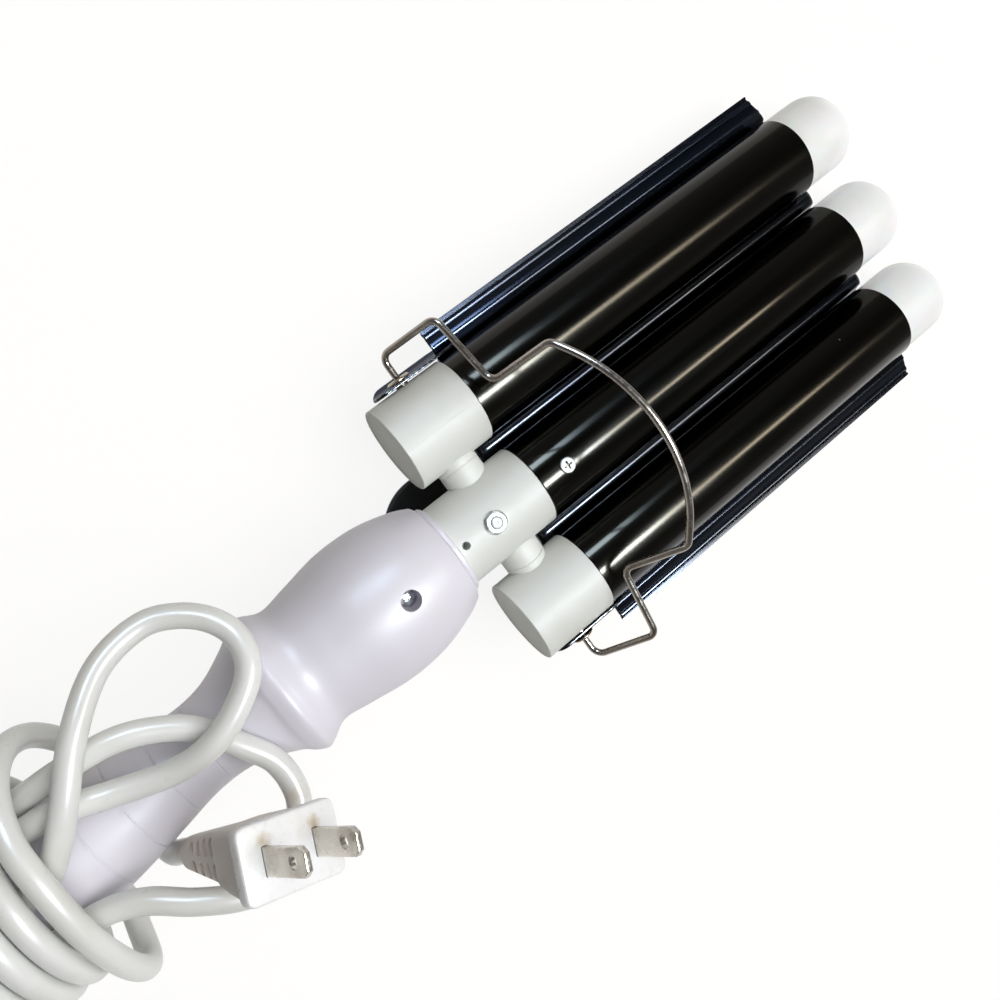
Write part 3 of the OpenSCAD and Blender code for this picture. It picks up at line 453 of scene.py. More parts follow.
def grown(obj, tree, name, **values):
    """The mesh that a tree makes of an object, which then goes."""
    mod = obj.modifiers.new(tree.name, "NODES")
    mod.node_group = tree
    sockets = {s.name: s.identifier for s in tree.interface.items_tree if s.in_out == "INPUT"}
    for key, value in values.items():
        mod[sockets[key]] = value
    mesh = applied(obj)
    bpy.data.objects.remove(obj)
    return linked(name, mesh)


def tube(name, points, radius, sides, step, material):
    """A tube in millimetres along the points."""
    curve = bpy.data.curves.new("path", "CURVE")
    curve.dimensions = "3D"
    spline = curve.splines.new("POLY")
    spline.points.add(len(points) - 1)
    for p, co in zip(spline.points, points):
        p.co = (*co, 1)
    return grown(linked("path", curve), TREES["tube"], name, Radius=radius, Sides=sides, Step=step,
                 Finish=MATERIALS[material])


def row(name, piece, material, count, first, step):
    """Copies of a piece in a row, as one piece."""
    return grown(piece, TREES["row"], name, Count=count, First=first, Step=step, Finish=MATERIALS[material])


# ---- Effects that several finishes share

def rgb(r, g, b):
    """A colour written as it looks on screen, 0 to 255, as the shaders take it."""
    linear = (c / 255 / 12.92 if c <= 10 else ((c / 255 + 0.055) / 1.055) ** 2.4 for c in (r, g, b))
    return (*linear, 1)


# Object coordinates turned to run along the barrels, and stretched
WHERE = {"where": ("TexCoord", {}, {})}
TURNED = {**WHERE, "turn": ("Mapping", {}, {"Rotation": (0, -TILT, 0)})}
TURN_LINK = "where.Object > turn.Vector, "
STRETCHED = {**TURNED, "along": ("VectorMath", {"operation": "MULTIPLY"}, {})}
STRETCH_LINKS = TURN_LINK + "turn.Vector > along.0, in.Stretch > along.1, along.Vector > noise.Vector, "
STRETCH = ("Stretch", "Vector", (1, 1, 1))
NOISE, TIMES = ("TexNoise", {}, {}), ("Math", {"operation": "MULTIPLY"}, {})
BELOW = ("Math", {"operation": "LESS_THAN"}, {})
SMOOTHLY = {"interpolation_type": "SMOOTHSTEP"}


def effect(name, inputs, output, nodes, links):
    return new_tree("ShaderNodeTree", name, inputs, [(output, "Float", None)], nodes, links)


def grain_group():
    """A fine noise for the gloss and the height of a surface."""
    return effect(
        "Surface Grain", [("Scale", "Float", 500.0), STRETCH, ("Detail", "Float", 3.0)], "Height",
        {**STRETCHED, "noise": ("TexNoise", {}, {"Roughness": 0.55})},
        STRETCH_LINKS + "in.Scale > noise.Scale, in.Detail > noise.Detail, noise.Fac > out.Height")


def smudge_group():
    """Soft patches of another colour."""
    return effect(
        "Soft Smudges", [("Scale", "Float", 30.0), STRETCH, ("Start", "Float", 0.5), ("End", "Float", 0.7),
                         ("Amount", "Float", 1.0), ("Detail", "Float", 5.0)], "Mask",
        {**STRETCHED, "noise": NOISE, "pick": ("MapRange", SMOOTHLY, {}), "scale": TIMES},
        STRETCH_LINKS + "in.Scale > noise.Scale, in.Detail > noise.Detail, noise.Fac > pick.Value, "
        "in.Start > pick.From Min, in.End > pick.From Max, pick.Result > scale.0, in.Amount > scale.1, "
        "scale.0 > out.Mask")


def wear_group():
    """The edges that mark_wear chose, rubbed in places."""
    return effect(
        "Edge Wear", [("Scale", "Float", 900.0), ("Amount", "Float", 0.5)], "Mask",
        {**TURNED, "noise": NOISE, "edge": ("Attribute", {"attribute_name": "wear"}, {}),
         "pick": ("MapRange", {}, {"From Min": 0.42, "From Max": 0.62}), "both": TIMES, "scale": TIMES},
        TURN_LINK + "turn.Vector > noise.Vector, in.Scale > noise.Scale, noise.Fac > pick.Value, "
        "edge.Fac > both.0, pick.Result > both.1, both.0 > scale.0, in.Amount > scale.1, scale.0 > out.Mask")


def chip_group():
    """Small specks where the finish is knocked off, a few of the cells of a fine pattern."""
    return effect(
        "Small Chips", [("Scale", "Float", 160.0), ("Size", "Float", 0.06), ("Share", "Float", 0.05)], "Mask",
        {**TURNED, "cells": ("TexVoronoi", {}, {}), "near": BELOW, "few": BELOW, "both": TIMES,
         "split": ("SeparateColor", {}, {})},
        TURN_LINK + "turn.Vector > cells.Vector, in.Scale > cells.Scale, cells.Distance > near.0, "
        "in.Size > near.1, cells.Color > split.Color, split.0 > few.0, in.Share > few.1, near.0 > both.0, "
        "few.0 > both.1, both.0 > out.Mask")


def spot_group():
    """A soft spot round one place, in metres: staining on the plug, painted shadow on the handle and the
    cord.
    """
    return effect(
        "Stain And Painted Shadow At A Place", [("Centre", "Vector", (0, 0, 0)), ("Reach", "Float", 0.004),
                             ("Amount", "Float", 0.6)], "Mask",
        {**WHERE, "away": ("VectorMath", {"operation": "DISTANCE"}, {}),
         "noise": ("TexNoise", {}, {"Scale": 600.0}),
         "shift": ("Math", {"operation": "MULTIPLY_ADD"}, {1: 0.002}),
         "pick": ("MapRange", SMOOTHLY, {"From Min": 0.001, "To Min": 1.0, "To Max": 0.0}), "scale": TIMES},
        "where.Object > away.0, in.Centre > away.1, where.Object > noise.Vector, noise.Fac > shift.0, "
        "away.Value > shift.2, shift.0 > pick.Value, in.Reach > pick.From Max, pick.Result > scale.0, "
        "in.Amount > scale.1, scale.0 > out.Mask")


def placed(tree, group, **values):
    node = tree.nodes.new("ShaderNodeGroup")
    node.node_tree = GROUPS[group]
    for key, value in values.items():
        node.inputs[key].default_value = value
    return node


def mixed(tree, base, colour, mask):
    """base, a colour or a socket, turned to colour where mask is high."""
    node = tree.nodes.new("ShaderNodeMix")
    node.data_type = "RGBA"
    if isinstance(base, tuple):
        node.inputs["A"].default_value = base
    else:
        tree.links.new(base, node.inputs["A"])
    node.inputs["B"].default_value = colour
    tree.links.new(mask, node.inputs["Factor"])
    return node.outputs["Result"]


def make_finish(name, colour, rough, spread, shade, metal=0.0, coat=0.0, coat_rough=0.1, grain=500.0,
                stretch=(1, 1, 1), bump=0.05, smudge=30.0, smudge_stretch=(1, 1, 1), smudge_amount=0.5,
                smudge_detail=5.0, worn=None, wear=0.5, chips=None, chip_scale=160.0, chip_share=0.05,
                stain_and_shadow_spots=(), stain=rgb(196, 176, 140), soft=0.0):
    """One finish: a colour with smudges of its shade, spots at given places (staining on the plug, painted
    shadow on the handle and the cord), rubbed edges and chips, and grain in its gloss and its height."""
    mat = bpy.data.materials.new(name)
    mat.use_nodes = True
    tree = mat.node_tree
    shader = tree.nodes["Principled BSDF"]
    values = {"Metallic": metal, "Coat Weight": coat, "Coat Roughness": coat_rough}
    if soft:
        values.update({"Subsurface Weight": soft, "Subsurface Scale": 0.002})
    for key, value in values.items():
        shader.inputs[key].default_value = value
    layers = [
        (shade, "smudge", dict(Scale=smudge, Stretch=smudge_stretch, Amount=smudge_amount,
                               Detail=smudge_detail)),
        # Spots at given places: staining on the plug, painted shadow on the handle and the cord
        *((stain, "spot", dict(zip(("Centre", "Reach", "Amount"), spot))) for spot in stain_and_shadow_spots),
        (worn, "wear", dict(Amount=wear)), (chips, "chip", dict(Scale=chip_scale, Share=chip_share))]
    base = colour
    for tint, group, values in layers:
        if tint:
            base = mixed(tree, base, tint, placed(tree, group, **values).outputs["Mask"])
    tree.links.new(base, shader.inputs["Base Color"])
    fine = placed(tree, "grain", Scale=grain, Stretch=stretch)
    gloss = {"From Min": 0.3, "From Max": 0.7, "To Min": rough - spread, "To Max": rough + spread}
    wired(tree, {"fine": fine, "shader": shader},
          {"gloss": ("MapRange", {}, gloss), "relief": ("Bump", {}, {"Strength": bump, "Distance": 0.00002})},
          "fine.Height > gloss.Value, gloss.Result > shader.Roughness, fine.Height > relief.Height, "
          "relief.Normal > shader.Normal")
    return mat


def part_spot(x, y, z):
    """A place on the part, in the frame."""
    return tuple(PLACE @ Vector((x, y, z)))


def plug_spot(x, y):
    """A place on the plug's face, in the frame."""
    return part_spot(*(PLUG @ Vector((x, y, 0))))


def make_materials(c):
    """Every finish of the part, from the colours of the panel."""
    black, white, grey, cord = ((*colour, 1) for colour in (c.barrel, c.handle, c.cap, c.cord))
    cord_end = part_spot(*cord_route()[-1])
    return {
        "barrel": make_finish(
            "Black chrome", black, 0.16, 0.05, rgb(30, 33, 40), metal=1.0, grain=260.0,
            stretch=(0.05, 1, 1), bump=0.05, smudge=14.0, smudge_stretch=(0.6, 2, 2), smudge_amount=0.6,
            worn=rgb(120, 116, 108), wear=0.25, chips=rgb(205, 203, 196), chip_scale=150.0, chip_share=0.09),
        "plate": make_finish(
            "Blue-black plate", rgb(52, 54, 59), 0.19, 0.06, rgb(40, 46, 60), metal=1.0, grain=240.0,
            stretch=(0.04, 1, 1), bump=0.04, smudge=16.0, smudge_stretch=(0.4, 2, 2), smudge_amount=0.9,
            worn=rgb(150, 150, 150), wear=0.35, chips=rgb(200, 198, 190), chip_scale=170.0, chip_share=0.03),
        "tip": make_finish(
            "Milky tip plastic", rgb(240, 241, 241), 0.33, 0.05, rgb(229, 229, 224), coat=0.15, grain=420.0,
            bump=0.03, smudge=45.0, smudge_amount=0.8, soft=0.25),
        "cap": make_finish(
            "Moulded grey cap", grey, 0.55, 0.06, rgb(203, 203, 195), grain=900.0, bump=0.06, smudge=38.0,
            smudge_amount=0.5, worn=rgb(236, 236, 232), wear=0.6, chips=rgb(140, 136, 126),
            chip_scale=120.0, chip_share=0.03),
        "handle": make_finish(
            "Satin handle plastic", white, 0.43, 0.05, rgb(222, 214, 208), coat=0.06, coat_rough=0.25,
            grain=300.0, bump=0.012, smudge=16.0, smudge_amount=0.6, worn=rgb(240, 238, 242), wear=0.4,
            # The tan spot on the handle's side near the plug is painted shadow
            stain_and_shadow_spots=[(part_spot(-96.5, -12.2, 3.5), 0.006, 0.6)], stain=rgb(198, 176, 150)),
        "lever": make_finish(
            "Black lever plastic", rgb(15, 15, 16), 0.45, 0.07, rgb(22, 22, 23), grain=1100.0, bump=0.16,
            smudge=60.0, worn=rgb(60, 60, 62), wear=0.5),
        "panel": make_finish(
            "Panel gloss black", rgb(17, 18, 21), 0.14, 0.04, rgb(26, 27, 31), coat=0.6, coat_rough=0.05,
            grain=500.0, bump=0.02, smudge=50.0),
        "window": make_finish(
            "Smoked window", rgb(26, 29, 35), 0.07, 0.02, rgb(36, 41, 50), coat=1.0, coat_rough=0.03,
            grain=90.0, bump=0.01, smudge=70.0),
        "button": make_finish(
            "Button plastic", rgb(206, 206, 211), 0.4, 0.05, rgb(192, 192, 196), grain=900.0, bump=0.08,
            smudge=120.0, worn=rgb(228, 228, 230), wear=0.5),
        "symbol": make_finish(
            "Symbol grey", rgb(88, 88, 94), 0.45, 0.05, rgb(100, 100, 106), grain=900.0, bump=0.05,
            smudge=120.0),
        "steel": make_finish(
            "Bright screw steel", rgb(208, 209, 211), 0.27, 0.08, rgb(178, 174, 166), metal=1.0,
            grain=700.0, bump=0.1, smudge=220.0, worn=rgb(235, 235, 235), wear=0.6),
        "zinc": make_finish(
            "Dull zinc", rgb(206, 209, 206), 0.46, 0.08, rgb(186, 188, 184), metal=0.5, grain=700.0,
            bump=0.08, smudge=260.0, worn=rgb(232, 233, 231), wear=0.4),
        "wire": make_finish(
            "Tarnished wire", rgb(156, 148, 139), 0.24, 0.08, rgb(118, 104, 90), metal=1.0, grain=500.0,
            bump=0.1, smudge=85.0, smudge_amount=0.5),
        "bush": make_finish(
            "Bronzed bush", rgb(170, 155, 138), 0.24, 0.08, rgb(112, 94, 76), metal=1.0, grain=600.0,
            bump=0.08, smudge=160.0, smudge_amount=0.9),
        "aluminium": make_finish(
            "Bar aluminium", rgb(190, 192, 196), 0.4, 0.1, rgb(168, 170, 174), metal=1.0, grain=500.0,
            stretch=(0.1, 1, 1), bump=0.1),
        "ceramic": make_finish(
            "Heater ceramic", rgb(214, 201, 172), 0.7, 0.08, rgb(196, 180, 150), grain=800.0, bump=0.15,
            smudge=80.0),
        "lead": make_finish(
            "Lead sleeve", rgb(176, 60, 44), 0.5, 0.08, rgb(150, 50, 38), grain=700.0, bump=0.1, smudge=90.0),
        "board": make_finish(
            "Board green", rgb(44, 104, 66), 0.4, 0.08, rgb(36, 88, 56), grain=600.0, bump=0.08,
            smudge=150.0),
        "dark": make_finish(
            "Dark component", rgb(58, 60, 66), 0.5, 0.08, rgb(72, 74, 80), grain=700.0, bump=0.08,
            smudge=110.0),
        "cord": make_finish(
            "Cord sheath", cord, 0.32, 0.05, rgb(212, 210, 203), coat=0.2, coat_rough=0.15, grain=420.0,
            bump=0.015, smudge=42.0, smudge_amount=0.5, smudge_detail=2.0,
            # Both tan spots on the cord are painted shadow: where it goes into the plug's relief and where it
            # passes behind the plug
            stain_and_shadow_spots=[(cord_end, 0.011, 0.7), (part_spot(-74, -20.5, 19.5), 0.0045, 0.8)],
            stain=rgb(206, 188, 160)),
        "plug": make_finish(
            "Plug plastic", rgb(240, 240, 240), 0.3, 0.05, rgb(226, 222, 216), coat=0.2, grain=700.0,
            bump=0.02, smudge=110.0, smudge_amount=0.5, smudge_detail=2.0,
            stain_and_shadow_spots=[(plug_spot(-6.35, 4.4), 0.0034, 0.9), (plug_spot(6.35, 4.4), 0.0034, 0.85)]),
        # A darker, browner copy of the plug's plastic: painted shade on the plug's neck and relief, also used
        # for the relief at the handle
        "relief": make_finish(
            "Relief plastic with painted shade", rgb(212, 204, 194), 0.42, 0.06, rgb(196, 186, 174), grain=800.0, bump=0.1,
            smudge=90.0, smudge_detail=2.0),
        "blade": make_finish(
            "Nickel blade", rgb(198, 192, 182), 0.25, 0.08, rgb(150, 140, 128), metal=1.0, grain=420.0,
            stretch=(1, 1, 0.2), bump=0.12, smudge=150.0, smudge_amount=0.4, worn=rgb(225, 222, 216),
            wear=0.7),
    }


# ---- What a user may change

def length_setting(name, description, default, low, high):
    """A small length in metres."""
    return FloatProperty(name=name, description=description, default=default, min=low, max=high,
                         unit="LENGTH", precision=5)


def colour_setting(name, description, r, g, b):
    return FloatVectorProperty(name=name, description=description, subtype="COLOR", size=3, min=0, max=1,
                               default=rgb(r, g, b)[:3])


class WaverSizes(bpy.types.PropertyGroup):
    tube_sides: IntProperty(name="Cord sides", description="Sides of the cord's round section", default=32,
                            min=8, max=48)
    turned_sides: IntProperty(name="Turned sides", description="Sides of the barrels and the caps",
                              default=144, min=48, max=256)
    edge_round: length_setting("Edge rounding", "Rounding of the moulded edges", 0.0005, 0.0001, 0.001)
    groove_depth: length_setting("Groove depth", "Depth of the rings round the grip", 0.00028, 0, 0.0006)
    wire_radius: length_setting("Rest wire radius", "Radius of the wire rest", 0.001, 0.0008, 0.0011)
    grip_grooves: IntProperty(name="Grip grooves", description="Grooves under the thumb lever", default=6,
                              min=0, max=9)
    blade_hole: length_setting("Blade hole", "Radius of the hole in each blade", 0.00155, 0.001, 0.0019)


class WaverColours(bpy.types.PropertyGroup):
    barrel: colour_setting("Barrels", "Colour of the barrels' chrome", 44, 42, 38)
    handle: colour_setting("Handle", "Colour of the handle shells", 222, 219, 228)
    cap: colour_setting("Caps", "Colour of the caps and the centre housing", 217, 219, 214)
    cord: colour_setting("Cord", "Colour of the mains cord", 226, 227, 224)


# What the first operator makes, by short names
GROUPS, MATERIALS, TREES = {}, {}, {}


# ---- The pieces

class HAIRWAVER_OT_finishes(bpy.types.Operator):
    """Makes the finishes, their shared effects and the node trees that build pieces"""
    bl_idname = "hairwaver.finishes"
    bl_label = "Finishes"

    def execute(self, context):
        GROUPS.update(grain=grain_group(), smudge=smudge_group(), wear=wear_group(), chip=chip_group(),
                      spot=spot_group())
        TREES.update(tube=tube_tree(), row=row_tree())
        MATERIALS.update(make_materials(context.scene.waver_colours))
        return {"FINISHED"}


class HAIRWAVER_OT_barrels(bpy.types.Operator):
    """Adds the three barrels and their cool tips"""
    bl_idname = "hairwaver.barrels"
    bl_label = "Barrels and tips"

    def execute(self, context):
        sides = context.scene.waver_sizes.turned_sides
        for y, where, rear in (
                (PITCH, "left", CAP_L), (0, "middle", HOUSING_FRONT), (-PITCH, "right", CAP_L)):
            walls = [(BARREL_R, rear + 0.6 + (RIM - rear - 1.2) * k / 30, 0) for k in range(31)]
            outline = filleted(
                [(BARREL_R - 1, RIM - 8, 0), (BARREL_R - 1, RIM, 0.2), (BARREL_R, RIM, 0.3)]
                + walls[::-1] + [(BARREL_R, rear + 0.05, 0.25), (BARREL_R - 0.9, rear + 0.05, 0)])
            piece = lathe("barrel_shell_" + where, outline, centre=(0, y, 0), segments=sides)
            finished(piece, "barrel", "root", "barrel_black", "barrel_" + where)
            r, full = BARREL_R - 0.4, 0.8  # the tip's dome is a little fuller than a ball
            angles = [math.radians(a) for a in (*(0.2 * k * k for k in range(1, 20)),
                                                *(75 + 1.5 * k for k in range(10)))]
            dome = [(r * math.cos(a) ** full, RIM + 12 + 10 * math.sin(a) ** full) for a in angles]
            body = [(r, RIM - 8.5), (r, RIM - 0.4), (r, RIM + 4), (r, RIM + 8), (r, RIM + 11)]
            piece = lathe("tip_shell_" + where, [(0, RIM - 8.5), *body, *dome, (0, RIM + 22)],
                          centre=(0, y, 0), segments=sides)
            finished(piece, "tip", "root", "tip_white", "cool_tip_" + where)
        return {"FINISHED"}


class HAIRWAVER_OT_housing(bpy.types.Operator):
    """Adds the outer caps, the centre housing, its ring and the two collars"""
    bl_idname = "hairwaver.housing"
    bl_label = "Caps and housing"

    def execute(self, context):
        sizes = context.scene.waver_sizes
        sides, edge = sizes.turned_sides, sizes.edge_round * 1000
        for s, where in ((1, "left"), (-1, "right")):
            outline = filleted([
                (0, 0.25, 0), (CAP_R - 1.3, 0.25, 0.1), (CAP_R - 1.0, 0, 0.1), (CAP_R, 0, edge),
                (CAP_R, 0.9, 0), (CAP_R, 8, 0), (CAP_R, 16, 0), (CAP_R, CAP_L - 0.8, 0),
                (CAP_R, CAP_L, edge), (BARREL_R + 0.02, CAP_L, 0.05), (BARREL_R - 1, CAP_L - 0.2, 0),
                (0, CAP_L - 0.2, 0)])
            piece = lathe("cap_" + where, outline, centre=(0, s * PITCH, 0), segments=sides,
                          seam=94 if s > 0 else None)
            cut(piece, drill("Y", (HINGE_X, s * (PITCH + CAP_R) - 2, 0), 2.1, -2, 5))
            finished(piece, "cap", "root", "cap_grey", "end_cap_" + where)
            turned_shading(piece, CAP_R, s * PITCH)
        outline = filleted([
            (0, -28, 0), (10.9, -28, 0.3), (10.9, -8, 0.2), (HOUSING_R, -8, 0.3), (HOUSING_R, -3, 0),
            (HOUSING_R, 6, 0), (HOUSING_R, 16, 0), (HOUSING_R, HOUSING_FRONT - 0.9, 0),
            (HOUSING_R, HOUSING_FRONT, edge), (HOUSING_R - 2, HOUSING_FRONT, 0), (0, HOUSING_FRONT, 0)])
        piece = lathe("housing_shell", outline, segments=sides)
        dish = lathe("dish", filleted([(0, -1.0, 0), (3.35, -1.0, 0.3), (3.6, 1.5, 0), (0, 1.5, 0)]), "Z",
                     (BOLT_X, 0, HOUSING_R), 48)
        bore = drill("Z", (BOLT_X, 0, HOUSING_R), 1.7, -8, 2, 32)
        vent = lathe("vent", [(0, -6), (1.15, -6), (1.15, -0.12), (1.5, 0.3), (0, 0.3)], "Z",
                     (-1.7, 0, HOUSING_R), 36)
        under = drill("Z", (BOLT_X, 0, -HOUSING_R), 3.2, -1, 1)
        screw = drill("Z", (HANDLE_SCREWS[0], 0, 11), 3.95, -25, 3)
        finished(cut(piece, dish, bore, vent, under, screw), "cap", "root", "cap_grey", "centre_housing")
        turned_shading(piece, HOUSING_R)
        ring = filleted([
            (HOUSING_R + 0.08, -5.9, 0), (13.4, -5.9, 0.2), (13.9, -5.6, 0.5), (13.9, -4.5, 0.4),
            (13.4, -4.0, 0.2), (HOUSING_R + 0.08, -3.95, 0)])
        piece = lathe("neck_ring_shell", ring, segments=sides)
        finished(piece, "handle", "root", "cap_grey", "neck_ring")
        for s, where in ((1, "left"), (-1, "right")):
            rings = []
            for t, drop in COLLAR_STEPS:
                ring = []
                for k in range(72):
                    a = 2 * math.pi * k / 72
                    x, z = COLLAR_X + (COLLAR_R - drop) * math.cos(a), (COLLAR_R - drop) * math.sin(a)
                    height = COLLAR_R * math.sin(a)
                    inner = math.sqrt((HOUSING_R - 0.03) ** 2 - height * height)
                    outer = PITCH - math.sqrt((CAP_R - 0.03) ** 2 - height * height)
                    ring.append((x, s * (inner + (outer - inner) * t), z))
                rings.append(ring)
            piece = loft("collar_" + where, rings)
            finished(piece, "cap", "root", "cap_grey", "bridge_collar_" + where)
        return {"FINISHED"}


def cross_recess(x, y, z, reach, width, depth):
    """Two tapered bars that cut a cross into a screw's head."""
    bars = []
    for a, b in ((reach, 0), (0, reach)):
        rings = []
        for level, grow in ((z - depth, 0.55), (z + 0.6, 1.05)):
            u, v = a * grow or width / 2, b * grow or width / 2
            rings.append(corners(x - u, y - v, x + u, y + v, level))
        bars.append(loft("bar", rings))
    return bars


class HAIRWAVER_OT_fasteners(bpy.types.Operator):
    """Adds the bolt and nut of the housing and the screw of the middle barrel"""
    bl_idname = "hairwaver.fasteners"
    bl_label = "Bolt, nut and barrel screw"

    def execute(self, context):
        top = HOUSING_R
        threads = [p for z in (top - 0.9 + k * 0.27 for k in range(9)) for p in ((1.34, z), (1.5, z + 0.135))]
        bolt = lathe("housing_bolt_body", [
            (0, -top - 0.8), (2.1, -top - 0.8), (2.7, -top - 0.3), (2.8, -top + 1), (1.5, -top + 1),
            (1.5, top - 1.2), *threads, (1.25, top + 1.5), (0.9, top + 1.6), (0, top + 1.6)],
            "Z", (BOLT_X, 0, 0), 40)
        socket = prism("socket", arc(BOLT_X, 0, 1.5, 0, 300, 5), -top - 2, -top + 0.3)
        dimple = lathe("dimple", [(0, -0.7), (0.35, -0.6), (0.62, 0.4), (0, 0.4)], "Z",
                       (BOLT_X, 0, top + 1.5), 24)
        finished(cut(bolt, socket, dimple), "zinc", "root", "steel", "housing_bolt")
        nut = prism("housing_nut_body", arc(0, 0, NUT_FLATS / math.sqrt(3), 9, 309, 5), -1.0, 1.15)
        crown = lathe("crown", [(0, -1.2), (2.75, -1.2), (3.3, -0.7), (3.3, 0.78), (2.68, 1.16), (0, 1.16)],
                      "Z", segments=48)
        cut(nut, crown, operation="INTERSECT")
        bore = lathe("bore", [(0, -2), (1.56, -2), (1.56, 0.8), (2.0, 1.3), (0, 1.3)], "Z", segments=40)
        nut = bevelled(cut(nut, bore), 0.12, 2)
        nut.data.transform(Matrix.Translation((BOLT_X, 0, top)))
        finished(nut, "zinc", "root", "steel", "housing_nut")
        z = BARREL_R
        screw = lathe("barrel_screw_body", filleted([
            (1.2, z - 3, 0.2), (1.2, z + 0.03, 0.02), (2.2, z + 0.03, 0.1), (2.3, z + 0.4, 0.2),
            (2.05, z + 0.72, 0.4), (1.0, z + 0.86, 0.5), (0, z + 0.87, 0)]), "Z", (SCREW_X, 0, 0), 56)
        finished(cut(screw, *cross_recess(SCREW_X, 0, z + 0.86, 1.6, 0.72, 1.0)), "zinc", "root", "steel",
                 "barrel_screw")
        return {"FINISHED"}


def quarter_round(t):
    """The height of a rounded edge at a share t of its width."""
    return math.sqrt(max(0, 1 - (1 - min(t, 1)) ** 2))


def plate_line():
    """The middle line of the clamp plate's section, each point with its height on a ridge."""
    mid = PLATE_IN + PLATE_T / 2
    knee_y = math.sqrt(mid * mid - KNEE_Z * KNEE_Z)
    knee = math.degrees(math.asin(-KNEE_Z / mid))
    edge = PITCH + knee_y
    flange = [(edge + a, KNEE_Z + b) for a, b in (
        (0.45, 0.6), (1.5, 0.92), (2.6, 1.0), (3.0, 1.25), (3.5, 1.3), (3.9, 1.0), (5.2, 0.86),
        (6.2, 0.75), (6.6, 1.0), (7.1, 1.02), (7.5, 0.62), (7.9, 0.42), (8.3, 0.42), (8.6, 0.6),
        (8.75, 0.85), (8.72, 1.1))]
    points = [(-y, z, 0) for y, z in flange[::-1]]
    for i, y in enumerate((-PITCH, 0, PITCH)):
        points += [(u, v, 0) for u, v in arc(y, 0, mid, 180 + knee, 360 - knee, 30)]
        if i < 2:
            r = PITCH / 2 - knee_y
            points += [(u, v, v - KNEE_Z) for u, v in arc(y + PITCH / 2, KNEE_Z, r, 180, 0, 14)[1:-1]]
    return points + [(y, z, 0) for y, z in flange]


class HAIRWAVER_OT_clamp_plate(bpy.types.Operator):
    """Adds the clamp plate with its troughs, ridges, flanges and hinge arms"""
    bl_idname = "hairwaver.clamp_plate"
    bl_label = "Clamp plate"

    def execute(self, context):
        line = plate_line()
        pts = [Vector((y, z)) for y, z, _ in line]
        length, half = PLATE_TIP - PLATE_REAR, PLATE_T / 2
        normals = []
        for i in range(len(pts)):
            d = (pts[min(i + 1, len(pts) - 1)] - pts[max(i - 1, 0)]).normalized()
            normals.append(Vector((-d.y, d.x)))
        near_end = [0, 0.08, 0.25, 0.6, 1.2, 2, 3, 4.5, 6, 7.5]
        middle = [10 + (length - 20) * k / 24 for k in range(25)]
        xs = near_end + middle + [length - v for v in near_end[::-1]]
        rings = []
        for x in xs:
            end = min(x, length - x)
            thin = min(1.0, 0.35 + quarter_round(end / 0.4) * 0.65)
            ridge_drop = 1 - quarter_round(end / 3.0)
            walls = {1: [], -1: []}
            for sign, wall in walls.items():
                for p, n, (_, _, lift) in zip(pts, normals, line):
                    q = p + n * half * sign * thin
                    rear = PLATE_REAR if abs(p.x) > PITCH + 0.1 else WEB_REAR
                    tip = PLATE_TIP - 0.25 * max(0, abs(p.x) - PITCH - BARREL_R)
                    wall.append((rear + x * (tip - rear) / length, q.x, q.y - lift * 0.92 * ridge_drop))
            rings.append(walls[1] + walls[-1][::-1])
        plate = loft("clamp_plate_sheet", rings, folded=True)
        arms = []
        for s in (1, -1):
            outline = [
                (31.6, -4.55), *arc(30.0, -1.2, 3.2, -70, 20, 6)[3:], (28.5, 1.2), (26.2, 2.25), (24, 2.5),
                (14, 2.5), *arc(7.8, -1.5, 4, 90, 270, 20), (14, -5.5), (24, -5.5), (31.6, -5.2)]
            low, high = sorted((s * ARM_Y, s * (ARM_Y + PLATE_T)))
            arm = bevelled(prism("arm", outline, low, high, "XZY"), 0.28, 3, 40)
            cut(arm, drill("Y", (HINGE_X, s * ARM_Y, 0), 2.2, -3, 3))
            arms.append(self.flared(arm, s))
        finished(joined(plate, *arms), "plate", "clamp", "barrel_black", "clamp_plate", sharp=40)
        return {"FINISHED"}

    def flared(self, arm, s):
        """Turns the lower edge of an arm outwards."""
        bm = bmesh.new()
        bm.from_mesh(arm.data)
        for z in (FLARE_Z, -3.2, -3.8, -4.4, -5.0):
            bmesh.ops.bisect_plane(bm, geom=bm.verts[:] + bm.edges[:] + bm.faces[:], plane_co=(0, 0, z),
                                   plane_no=(0, 0, 1))
        for v in bm.verts:
            v.co.y += s * 1.7 * (max(0, FLARE_Z - v.co.z) / 2.9) ** 1.5
        bm.to_mesh(arm.data)
        bm.free()
        return arm


